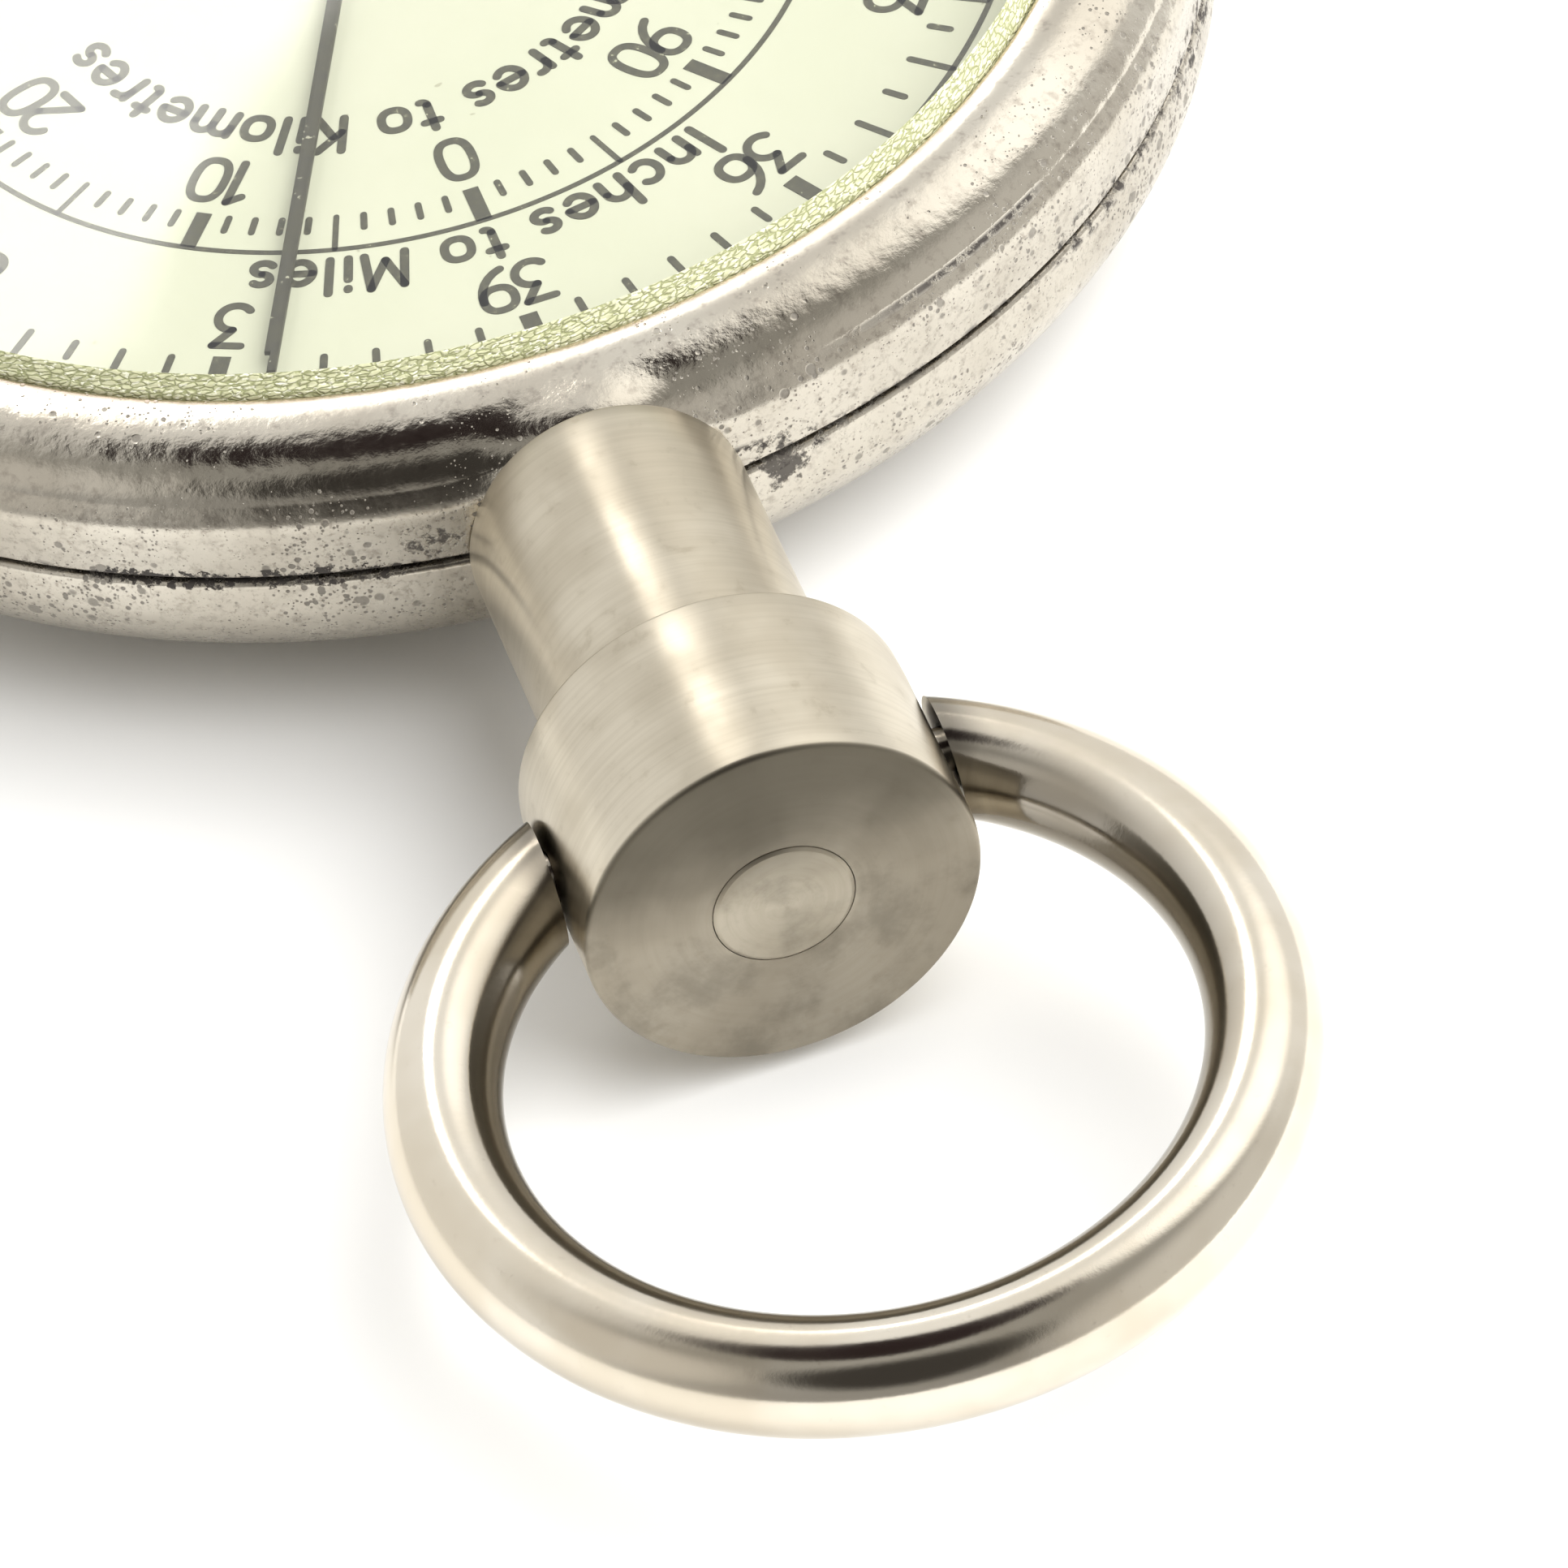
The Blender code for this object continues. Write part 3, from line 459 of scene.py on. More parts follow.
def satin_nickel():
    """Turned nickel silver: warm, with fine rings round the stem's axis that draw highlights out along it."""
    material, t = new_material("satin_nickel")
    place = t.millimetres()
    x, y, z = t.split(place)
    up = t.minus(z, STEM_Z)
    radius = t.length(x, up)
    turn = t.math("ARCTAN2", x, up)
    along, outward = t.times(y, 9.0), t.times(radius, 9.0)
    lathe = t.noise(t.joined(along, outward, t.times(turn, 0.8)), 1.0, 3.0, 0.65)
    clouds = t.noise(place, 0.55, 3.0)
    colour = t.blend(t.between(clouds, 0.35, 0.65), (0.62, 0.565, 0.46), (0.54, 0.485, 0.385))
    colour = t.blend(t.between(lathe, 0.35, 0.75, 0.0, 0.35), colour, (0.44, 0.39, 0.30))
    blotch = t.noise(place, 2.2, 4.0, 0.6)
    colour = t.blend(t.between(blotch, 0.58, 0.75, 0.0, 0.30), colour, (0.34, 0.29, 0.21))
    off_joint = t.math("ABSOLUTE", t.minus(y, (NECK_END_Y + HEAD_Y[0]) / 2))
    grime = t.larger(t.between(off_joint, 0.10, 0.02), t.between(y, -15.80, -15.45))
    grime = t.times(grime, t.between(radius, 2.0, 2.4))
    colour = t.blend(t.times(grime, 0.35), colour, (0.16, 0.13, 0.09))
    # the end face is duller than the sides and its colour is darker as painted shade, and the rivet's end a
    # little brighter than the face
    face = t.between(y, HEAD_Y[1] + 0.12, HEAD_Y[1] + 0.02)
    ring = t.between(radius, RIVET_RADIUS - 0.05, RIVET_RADIUS + 0.15, 0.32, 0.62)
    colour = t.blend(t.times(face, ring), colour, (0.24, 0.21, 0.165))
    # painted shade: the end face darker towards its top (stain), with real smudges over it
    painted_shade_height = t.plus(z, t.times(clouds, 1.5))
    stain = t.times(face, t.between(painted_shade_height, 4.4, 6.8, 0.0, 0.80))
    smudge = t.times(face, t.between(t.noise(place, 0.9, 5.0, 0.6), 0.40, 0.70, 0.0, 0.40))
    colour = t.blend(t.larger(stain, smudge), colour, (0.115, 0.103, 0.078))
    grooves = t.bump(lathe, 0.10, 0.02)
    dents = t.bump(t.noise(place, 1.0, 1.0), 0.03, 0.05, grooves)
    roughness = t.plus(t.between(clouds, 0.3, 0.7, 0.28, 0.35), t.times(face, 0.10))
    around = t.add("ShaderNodeTangent", axis="Y").outputs[0]
    t.surface({"Base Color": colour, "Metallic": 1.0, "Roughness": roughness, "Anisotropic": 0.75,
               "Anisotropic Rotation": 0.25, "Tangent": around, "Normal": dents})
    return material


def polished_nickel():
    """The bow: polished wire with faint scratches, with painted shade beside the head and on its inner side.
    """
    material, t = new_material("polished_nickel")
    place = t.millimetres()
    clouds = t.noise(place, 0.35, 3.0)
    colour = t.blend(t.between(clouds, 0.35, 0.65), (0.72, 0.665, 0.57), (0.62, 0.555, 0.45))
    scratches = t.noise(place, 5.0, 4.0, 0.7)
    colour = t.blend(t.between(scratches, 0.60, 0.80, 0.0, 0.3), colour, (0.42, 0.36, 0.29))
    x, y = t.split(place)[:2]
    painted_shade_near_head = t.times(t.between(t.math("ABSOLUTE", x), 4.4, 3.6), t.between(y, -26.6, -25.0))
    painted_shade_inward = t.between(t.length(x, t.minus(y, BOW_HINGE_Y + BOW_CENTRE_Y)), 6.75, 6.0, 0.0, 0.7)
    # painted shade: the wire darkened beside the head and on its inner side
    tarnish = t.larger(t.times(painted_shade_near_head, 0.85), painted_shade_inward)
    colour = t.blend(tarnish, colour, (0.19, 0.17, 0.14))
    worn = t.bump(scratches, 0.08, 0.02)
    t.surface({"Base Color": colour, "Metallic": 1.0, "Roughness": t.between(clouds, 0.3, 0.7, 0.11, 0.19),
               "Normal": worn})
    return material


def dial_enamel():
    """Pale cream enamel with a few specks."""
    material, t = new_material("dial_enamel")
    place = t.millimetres()
    clouds = t.noise(place, 0.25, 2.0)
    colour = t.blend(t.between(clouds, 0.35, 0.65), (0.56, 0.56, 0.45), (0.54, 0.545, 0.43))
    specks = t.between(t.noise(place, 3.2, 1.0), 0.80, 0.83)
    colour = t.blend(t.times(specks, 0.6), colour, (0.28, 0.26, 0.17))
    t.surface({"Base Color": colour, "Roughness": t.between(t.noise(place, 4.0), 0.3, 0.7, 0.45, 0.60),
               "Normal": t.bump(t.noise(place, 12.0, 2.0), 0.05, 0.01)})
    return material


def dial_ink():
    """Worn olive-black print, with pale pinholes."""
    material, t = new_material("dial_ink")
    place = t.millimetres()
    wear = t.noise(place, 9.0, 3.0, 0.65)
    colour = t.blend(t.between(wear, 0.40, 0.62), (0.040, 0.038, 0.024), (0.075, 0.071, 0.047))
    colour = t.blend(t.between(wear, 0.66, 0.72), colour, (0.40, 0.40, 0.29))
    t.surface({"Base Color": colour, "Roughness": t.between(wear, 0.3, 0.7, 0.5, 0.7)})
    return material


def hand_lacquer():
    """The hand: dull dark lacquer, chipped pale in places."""
    material, t = new_material("hand_lacquer")
    place = t.millimetres()
    wear = t.noise(place, 3.0, 4.0, 0.6)
    colour = t.blend(t.between(wear, 0.35, 0.65), (0.034, 0.031, 0.020), (0.058, 0.054, 0.036))
    chips = t.between(t.noise(place, 7.0, 2.0), 0.70, 0.74)
    colour = t.blend(chips, colour, (0.36, 0.35, 0.27))
    t.surface({"Base Color": colour, "Metallic": 0.2, "Roughness": t.between(wear, 0.3, 0.7, 0.35, 0.55),
               "Normal": t.bump(wear, 0.1, 0.02)})
    return material


def cracked_seal():
    """The crystal's edge ring: pale olive lacquered fibre, cracked into short strands round the rim."""
    material, t = new_material("cracked_seal")
    place = t.millimetres()
    x, y, z = t.split(place)
    turn = t.math("ARCTAN2", x, y)
    across = t.minus(z, t.length(x, y))
    slant = t.plus(t.times(turn, 13.4 * 5.0), t.times(across, 3.0))
    strands = t.joined(slant, t.times(across, 9.0), 0.0)
    shift = t.add("ShaderNodeTexNoise", {"Vector": place, "Scale": 5.0, "Detail": 2.0}).outputs["Color"]
    wobble = t.add("ShaderNodeVectorMath", {0: strands, 1: shift}, operation="ADD").outputs[0]
    cracks = t.add("ShaderNodeTexVoronoi", {"Vector": wobble, "Scale": 1.0}, feature="DISTANCE_TO_EDGE")
    gap = t.between(cracks.outputs["Distance"], 0.0, 0.22)
    tint = t.noise(place, 3.0, 3.0)
    colour = t.blend(t.between(tint, 0.35, 0.65), (0.76, 0.76, 0.51), (0.62, 0.625, 0.39))
    colour = t.blend(gap, (0.36, 0.375, 0.19), colour)
    colour = t.blend(t.between(t.noise(wobble, 1.7, 1.0), 0.58, 0.66), colour, (0.93, 0.93, 0.74))
    t.surface({"Base Color": colour, "Roughness": t.between(tint, 0.3, 0.7, 0.35, 0.6),
               "Normal": t.bump(gap, 0.5, 0.05)})
    return material


def clear_crystal():
    """Clear plastic: it lets light straight through and mirrors a little, more at a grazing angle."""
    material, t = new_material("clear_crystal")
    place = t.millimetres()
    facing = t.add("ShaderNodeLayerWeight", {"Blend": 0.5}).outputs["Facing"]
    grazing = t.math("POWER", facing, 5.0)
    mirrored = t.plus(0.04, t.times(grazing, 0.96))
    smears = t.between(t.noise(place, 0.35, 4.0, 0.6), 0.3, 0.7, 0.03, 0.09)
    gloss = t.add("ShaderNodeBsdfAnisotropic", {"Color": (1.0, 1.0, 1.0, 1.0), "Roughness": smears})
    clear = t.add("ShaderNodeBsdfTransparent", {"Color": (0.995, 1.0, 0.985, 1.0)})
    mixed = t.add("ShaderNodeMixShader", {0: mirrored, 1: clear.outputs[0], 2: gloss.outputs[0]})
    t.add("ShaderNodeOutputMaterial", {"Surface": mixed.outputs[0]})
    return material


def machined(name, light, dark, roughness, ring_axis_y):
    """Brass or steel of the movement, with turning marks about an upright axis at ring_axis_y."""
    material, t = new_material(name)
    place = t.millimetres()
    x, y, z = t.split(place)
    radius = t.length(x, t.minus(y, ring_axis_y))
    marks = t.noise(t.joined(t.times(radius, 7.0), t.times(z, 7.0), 0.0), 1.0, 3.0)
    stain = t.noise(place, 0.8, 4.0, 0.6)
    colour = t.blend(t.between(stain, 0.35, 0.70), light, dark)
    t.surface({"Base Color": colour, "Metallic": 1.0,
               "Roughness": t.between(stain, 0.3, 0.7, roughness, roughness + 0.15),
               "Normal": t.bump(marks, 0.15, 0.02)})
    return material


def brass(name, ring_axis_y=0.0):
    return machined(name, (0.78, 0.58, 0.27), (0.56, 0.38, 0.16), 0.25, ring_axis_y)


def steel(name, ring_axis_y=0.0):
    return machined(name, (0.56, 0.56, 0.56), (0.38, 0.36, 0.34), 0.22, ring_axis_y)


# -------------------- case

def soft_maximum(first, second, width):
    """The larger of two heights, with a rounded valley where they meet."""
    overlap = max(width - abs(first - second), 0.0) / width
    return max(first, second) + overlap * overlap * width / 4


def swell_top(x):
    """The neck's height in the middle, easing out beside it: what the pressed swell rises towards."""
    share = min(abs(x) / SWELL_HALF_WIDTH, 1.0)
    return STEM_Z + NECK_RADIUS * (1.0 + math.cos(math.pi * share)) / 2


def raise_saddle(point, drop=0.45, steepness=1.15, softness=1.20):
    """Lifts the bezel's outer surface near the stem, so that it swells up towards the neck."""
    radius = math.hypot(point.x, point.y)
    if point.y > 0 or radius < LIP_OUTER_RADIUS or point.z < BAND_TOP_Z - 0.6:
        return point
    share = min((radius - LIP_OUTER_RADIUS) / (CASE_RADIUS - LIP_OUTER_RADIUS), 1.0)
    swell = swell_top(point.x) - drop - steepness * (1.0 - share) ** 2
    return Vector((point.x, point.y, soft_maximum(point.z, swell, softness)))


def front_shell(look):
    outline = [(LIP_INNER_RADIUS, SHELF_Z[1])]
    outline += rounded([(LIP_INNER_RADIUS, SHELF_Z[1], 0), (LIP_INNER_RADIUS, LIP_TOP_Z, 0.10),
                        (LIP_OUTER_RADIUS, LIP_TOP_Z, 0)])[1:-1]
    roll_height = LIP_TOP_Z - ROLL_SPRING_Z
    roll = arc((LIP_OUTER_RADIUS, ROLL_SPRING_Z), ROLL_WIDTH, roll_height, 90.0, ROLL_END_DEG, 28)
    outline += roll[:-1]
    outline += rounded([(*roll[-2], 0), (*roll[-1], 0.35), (CASE_RADIUS, BAND_TOP_Z, 0.50),
                        (SHELL_BOTTOM_RADIUS, SHELL_BOTTOM_Z, 0.10),
                        (SHELL_INNER_RADIUS, SHELL_BOTTOM_Z, 0)])[1:]
    outline += [(SHELL_INNER_RADIUS, SHELL_CORNER_Z), (SHELF_OUTER_RADIUS, SHELF_Z[0]),
                (SHELF_INNER_RADIUS, SHELF_Z[0]), (SHELF_INNER_RADIUS, SHELF_Z[1])]
    bm = turned(outline, CASE_STEPS, loop=True)
    for vertex in bm.verts:
        vertex.co = raise_saddle(vertex.co)
    shell = add_object("front_shell_finish", bm)
    cut(shell, stem_bore())
    cut(shell, wheel_window())
    return dress(shell, look, "case", ["front_shell"])


def stem_bore():
    """The hole that the neck's spigot fills."""
    end = -CASE_RADIUS - 1.5
    start = -13.2
    return turned([(0.0, start), (SPIGOT_RADIUS, start), (SPIGOT_RADIUS, end), (0.0, end)], 96, along_stem)


def wheel_window():
    bm = bmesh.new()
    bmesh.ops.create_cube(bm, size=1.0)
    low = Vector((-WINDOW_HALF_WIDTH, WINDOW_Y[0], WINDOW_Z[0]))
    high = Vector((WINDOW_HALF_WIDTH, WINDOW_Y[1], WINDOW_Z[1]))
    bmesh.ops.scale(bm, verts=bm.verts, vec=high - low)
    bmesh.ops.translate(bm, verts=bm.verts, vec=(high + low) / 2)
    through_edges = [edge for edge in bm.edges if edge.verts[0].co.xz == edge.verts[1].co.xz]
    bmesh.ops.bevel(bm, geom=through_edges, offset=0.35, segments=5, profile=0.5, affect="EDGES")
    return bm


def back_cover(look):
    width = SHELL_BOTTOM_RADIUS - BACK_FLAT_RADIUS
    centre = (BACK_FLAT_RADIUS, BACK_SPRING_Z)
    outline = [(0.0, 0.0)] + arc(centre, width, BACK_SPRING_Z, -90.0, 0.0, 40)
    outline += rounded([outline[-1] + (0,), (SHELL_BOTTOM_RADIUS, SEAM_Z[0], 0.12),
                        (COLLAR_RADII[1], SEAM_Z[0], 0)])[1:]
    inner, outer = COLLAR_RADII
    outline += [(outer, COLLAR_Z[1]), (inner, COLLAR_Z[1]), (inner, COLLAR_Z[0])]
    outline += arc(centre, width - BACK_WALL, BACK_SPRING_Z - BACK_WALL, -8.0, -90.0, 24)
    outline += [(0.0, BACK_WALL)]
    cover = add_object("back_cover_finish", turned(outline, CASE_STEPS))
    cut(cover, stem_bore())
    cut(cover, wheel_window())
    return dress(cover, look, "case", ["back_cover"])


def crystal(look):
    edge_bottom = CRYSTAL_EDGE_TOP_Z - CRYSTAL_THICKNESS
    steps = 48
    shares = [step / steps for step in range(steps + 1)]
    dome = [(CRYSTAL_RADIUS * share, CRYSTAL_RISE * (1 - share ** 2)) for share in shares]
    outline = [(radius, edge_bottom + rise) for radius, rise in dome]
    outline += [(radius, CRYSTAL_EDGE_TOP_Z + rise) for radius, rise in reversed(dome)]
    glass = add_object("crystal_finish", turned(outline, 240))
    return dress(glass, look, "case", ["crystal"])


def crystal_seal(look):
    """The ring round the crystal: three rolled strands side by side on its sloping top."""
    inner, outer = SEAL_RADII
    low, high = SEAL_TOP_Z
    strands = 3
    top = []
    for step in range(strands * 6 + 1):
        share = step / (strands * 6)
        sag = 0.018 * (1 - abs(math.sin(strands * math.pi * share)))
        top.append((outer + (inner - outer) * share, low + (high - low) * share - sag))
    outline = [(inner, SEAL_BOTTOM_Z), (outer, SEAL_BOTTOM_Z)] + top
    seal = add_object("crystal_seal_finish", turned(outline, CASE_STEPS, loop=True), 60)
    return dress(seal, look, "case", ["crystal_seal"])


# -------------------- dial, print and hand

def dial(look):
    low = DIAL_TOP_Z - DIAL_THICKNESS
    outline = rounded([(DIAL_BORE_RADIUS, low, 0), (DIAL_RADIUS, low, 0.03), (DIAL_RADIUS, DIAL_TOP_Z, 0.03),
                       (DIAL_BORE_RADIUS, DIAL_TOP_Z, 0)])
    face = add_object("dial_finish", turned(outline, 240, loop=True))
    for radius, angle in DIAL_FEET:
        middle = upright(radius, 0.0, math.radians(angle))
        cut(face, disc(DIAL_FOOT_RADIUS, DIAL_FOOT_BOTTOM_Z, low + 0.1, middle.xy), "UNION")
    return dress(face, look, "case", ["dial"])


def bend(x, y, half_width, half_height, start_deg, end_deg):
    """A pen stroke along an elliptical arc."""
    steps = max(4, int(abs(end_deg - start_deg) / 12))
    return arc((x, y), half_width, half_height, start_deg, end_deg, steps)


def oval(x, y, half_width, half_height, squareness=0.85):
    """A closed pen stroke, a little squarer than an ellipse."""
    points = []
    for step in range(36):
        angle = TURN * step / 36
        across, up = math.cos(angle), math.sin(angle)
        points.append((x + half_width * math.copysign(abs(across) ** squareness, across),
                       y + half_height * math.copysign(abs(up) ** squareness, up)))
    return points + [points[0]]


# Each character: its width, then its pen strokes, in units of the capital height
CHARACTERS = {
    "0": (0.62, [oval(0.31, 0.50, 0.26, 0.46, 0.78)]),
    "1": (0.40, [[(0.26, 0.04), (0.26, 0.96)], [(0.06, 0.80), (0.26, 0.96)]]),
    "2": (0.62, [bend(0.31, 0.71, 0.25, 0.25, 165, -35), [(0.52, 0.57), (0.07, 0.04)],
                 [(0.07, 0.04), (0.57, 0.04)]]),
    "3": (0.62, [[(0.08, 0.96), (0.53, 0.96)], [(0.53, 0.96), (0.28, 0.60)],
                 bend(0.29, 0.32, 0.27, 0.28, 92, -140)]),
    "4": (0.66, [[(0.46, 0.04), (0.46, 0.96)], [(0.46, 0.96), (0.05, 0.32)], [(0.05, 0.32), (0.62, 0.32)]]),
    "5": (0.62, [[(0.52, 0.96), (0.13, 0.96)], [(0.13, 0.96), (0.10, 0.55)],
                 bend(0.28, 0.33, 0.28, 0.29, 125, -140)]),
    "6": (0.62, [oval(0.31, 0.31, 0.25, 0.27), bend(0.66, 0.31, 0.60, 0.70, 105, 180)]),
    "7": (0.56, [[(0.05, 0.96), (0.52, 0.96)], [(0.52, 0.96), (0.20, 0.04)]]),
    "8": (0.62, [oval(0.31, 0.28, 0.26, 0.24), oval(0.31, 0.75, 0.20, 0.21)]),
    "9": (0.62, [oval(0.31, 0.69, 0.25, 0.27), bend(-0.04, 0.69, 0.60, 0.70, -75, 0)]),
    " ": (0.34, []),
    "C": (0.74, [bend(0.42, 0.50, 0.35, 0.46, 55, 305)]),
    "I": (0.24, [[(0.12, 0.04), (0.12, 0.96)]]),
    "K": (0.66, [[(0.10, 0.04), (0.10, 0.96)], [(0.56, 0.96), (0.12, 0.44)], [(0.27, 0.58), (0.60, 0.04)]]),
    "M": (0.92, [[(0.08, 0.04), (0.14, 0.96)], [(0.14, 0.96), (0.45, 0.22)], [(0.45, 0.22), (0.77, 0.96)],
                 [(0.77, 0.96), (0.84, 0.04)]]),
    "c": (0.58, [bend(0.32, 0.34, 0.25, 0.30, 50, 310)]),
    "e": (0.64, [[(0.08, 0.36), (0.55, 0.36)], bend(0.32, 0.34, 0.25, 0.30, 5, 315)]),
    "h": (0.62, [[(0.09, 0.04), (0.09, 0.96)], bend(0.31, 0.40, 0.22, 0.24, 180, 0),
                 [(0.53, 0.40), (0.53, 0.04)]]),
    "i": (0.22, [[(0.11, 0.04), (0.11, 0.62)], [(0.11, 0.86), (0.11, 0.90)]]),
    "l": (0.22, [[(0.11, 0.04), (0.11, 0.96)]]),
    "m": (0.94, [[(0.09, 0.04), (0.09, 0.64)], bend(0.28, 0.42, 0.19, 0.22, 180, 0),
                 [(0.47, 0.42), (0.47, 0.04)], bend(0.66, 0.42, 0.19, 0.22, 180, 0),
                 [(0.85, 0.42), (0.85, 0.04)]]),
    "n": (0.62, [[(0.09, 0.04), (0.09, 0.64)], bend(0.31, 0.40, 0.22, 0.24, 180, 0),
                 [(0.53, 0.40), (0.53, 0.04)]]),
    "o": (0.64, [oval(0.32, 0.34, 0.25, 0.29)]),
    "r": (0.42, [[(0.09, 0.04), (0.09, 0.64)], bend(0.30, 0.40, 0.21, 0.24, 180, 75)]),
    "s": (0.54, [bend(0.27, 0.49, 0.17, 0.145, 45, 265), bend(0.26, 0.20, 0.19, 0.155, 85, -145)]),
    "t": (0.42, [[(0.17, 0.84), (0.17, 0.14)], bend(0.27, 0.14, 0.10, 0.11, 180, 280),
                 [(0.04, 0.63), (0.33, 0.63)]]),
}


def pen_stroke(bm, points, width, round_ends=True):
    """A flat raised stroke along points on the dial's face, with round or square ends."""
    path = [Vector(point) for point in points]
    closed = (path[0] - path[-1]).length < 1e-6
    if closed:
        path = path[:-1]
    stations = []
    for index, point in enumerate(path):
        before = path[index - 1] if closed or index else point
        after = path[(index + 1) % len(path)] if closed or index < len(path) - 1 else point
        along = (after - before).normalized()
        stations.append((point, along, width / 2))
    if round_ends and not closed:
        first, start_along, half = stations[0]
        last, end_along, half = stations[-1]
        for angle in (math.radians(35), math.radians(60), math.radians(80)):
            start = first - start_along * half * math.sin(angle)
            end = last + end_along * half * math.sin(angle)
            stations.insert(0, (start, start_along, half * math.cos(angle)))
            stations.append((end, end_along, half * math.cos(angle)))
    low, high = DIAL_TOP_Z - PRINT_SINK, DIAL_TOP_Z + PRINT_THICKNESS
    rings = []
    for point, along, half in stations:
        side = Vector((-along.y, along.x)) * half
        left, right = point + side, point - side
        rings.append([(*left, low), (*left, high), (*right, high), (*right, low)])
    rows = loft(bm, rings, closed)
    if not closed:
        bm.faces.new(rows[0])
        bm.faces.new(reversed(rows[-1]))


def clock_place(radius, clockwise_deg, across=0.0):
    """A point on the dial: so far out, so far clockwise from the stem, and so far across that line."""
    angle = math.radians(clockwise_deg)
    outward = Vector((-math.sin(angle), -math.cos(angle)))
    reading = Vector((-math.cos(angle), math.sin(angle)))
    return outward * radius + reading * across


def tick(bm, clockwise_deg, start, end, width, round_ends=True):
    points = [clock_place(start, clockwise_deg), clock_place(end, clockwise_deg)]
    pen_stroke(bm, points, width, round_ends)


def circle_line(bm, radius):
    pen_stroke(bm, [clock_place(radius, 1.5 * step) for step in range(241)], CIRCLE_LINE)


def write_character(bm, character, height, base_radius, clockwise_deg, start_x):
    for stroke in CHARACTERS[character][1]:
        points = []
        for x, y in stroke:
            points.append(clock_place(base_radius + y * height, clockwise_deg, start_x + x * height))
        pen_stroke(bm, points, PEN_WIDTH)


def write_number(bm, number, middle_radius, clockwise_deg):
    """A number set straight, centred on its tick, its top outward."""
    text = str(number)
    width = sum(CHARACTERS[character][0] for character in text) * NUMERAL_HEIGHT
    x = -width / 2
    for character in text:
        write_character(bm, character, NUMERAL_HEIGHT, middle_radius - NUMERAL_HEIGHT / 2, clockwise_deg, x)
        x += CHARACTERS[character][0] * NUMERAL_HEIGHT


def write_legend(bm, text, middle_radius, half_span_deg):
    """A line of words bent round the dial's centre, centred on the stem's direction."""
    widths = [CHARACTERS[character][0] * LETTER_HEIGHT for character in text]
    length = math.radians(2 * half_span_deg) * middle_radius
    spacing = (length - sum(widths)) / (len(text) - 1)
    x = -length / 2
    for character, width in zip(text, widths):
        middle = math.degrees((x + width / 2) / middle_radius)
        write_character(bm, character, LETTER_HEIGHT, middle_radius - LETTER_HEIGHT / 2, middle, -width / 2)
        x += width + spacing


def outer_scale(look):
    """Inches round the rim: a thick tick and a number every three, a thin one every inch and half inch."""
    bm = bmesh.new()
    circle_line(bm, OUTER_CIRCLE_RADIUS)
    for half_inch in range(2 * INCHES_ROUND):
        angle = 360.0 * half_inch / (2 * INCHES_ROUND)
        if half_inch % (2 * NUMBERED_INCHES) == 0:
            tick(bm, angle, *NUMBERED_INCH_TICK, False)
            write_number(bm, half_inch // 2 or INCHES_ROUND, INCH_NUMBER_RADIUS, angle)
        elif half_inch % 2 == 0:
            tick(bm, angle, *INCH_TICK)
        else:
            tick(bm, angle, *HALF_INCH_TICK)
    write_legend(bm, *INCH_LEGEND)
    return dress(add_object("dial_outer_scale", bm), look, "case", ())


def inner_scale(look):
    """Centimetres inside the middle circle, numbered every ten."""
    bm = bmesh.new()
    circle_line(bm, INNER_CIRCLE_RADIUS)
    for mark in range(CM_ROUND):
        angle = 360.0 * mark / CM_ROUND
        if mark % 10 == 0:
            tick(bm, angle, *TEN_CM_TICK, False)
            write_number(bm, mark, CM_NUMBER_RADIUS, angle)
        elif mark % 5 == 0:
            tick(bm, angle, *FIVE_CM_TICK)
        else:
            tick(bm, angle, *CM_TICK)
    write_legend(bm, *CM_LEGEND)
    return dress(add_object("dial_inner_scale", bm), look, "case", ())


def hand(look):
    """A flat strip with softened edges, stepped to a narrower tip, with a round eye over the post."""
    half = HAND_HALF_WIDTH
    cut_x = half - HAND_TIP_CUT
    outline = [(-half, HAND_TAIL), (half, HAND_TAIL), (half, HAND_TIP), (cut_x, HAND_TIP), (cut_x, HAND_STEP),
               (-half, HAND_STEP)]
    bm = bmesh.new()
    corners = [bm.verts.new((*clock_place(y, HAND_DIRECTION_DEG, -x), HAND_Z[0])) for x, y in outline]
    face = bm.faces.new(corners)
    lifted = bmesh.ops.extrude_face_region(bm, geom=[face])["geom"]
    top = [item for item in lifted if isinstance(item, bmesh.types.BMVert)]
    bmesh.ops.translate(bm, verts=top, vec=(0.0, 0.0, HAND_Z[1] - HAND_Z[0]))
    upper = [edge for edge in bm.edges if all(vertex in top for vertex in edge.verts)]
    bmesh.ops.bevel(bm, geom=upper, offset=HAND_EDGE, segments=2, profile=0.5, affect="EDGES")
    blade = add_object("hand_finish", bm)
    hole_radius, eye_radius = HAND_EYE_RADII
    cut(blade, disc(eye_radius, HAND_Z[0] - 0.001, HAND_Z[1] + 0.001, steps=64), "UNION")
    cut(blade, disc(hole_radius, HAND_Z[0] - 1.0, HAND_Z[1] + 1.0, steps=64))
    return dress(blade, look, "hand_arbor", ["hand"])


def hand_boss(look):
    """The bush under and over the hand: a flange, a waist through the eye, and a riveted cap."""
    bore, flange, waist, cap = BOSS_RADII
    foot_low, foot_high, cap_low, cap_high = BOSS_Z
    outline = rounded([(bore, foot_low, 0), (flange, foot_low, 0.03), (flange, foot_high, 0.03),
                       (waist, foot_high, 0), (waist, cap_low, 0), (cap, cap_low, 0.03),
                       (cap, cap_high, 0.09), (bore, cap_high, 0)])
    boss = add_object("hand_boss_finish", turned(outline, 64, loop=True))
    return dress(boss, look, "hand_arbor", ["hand_boss"])


# -------------------- stem and bow

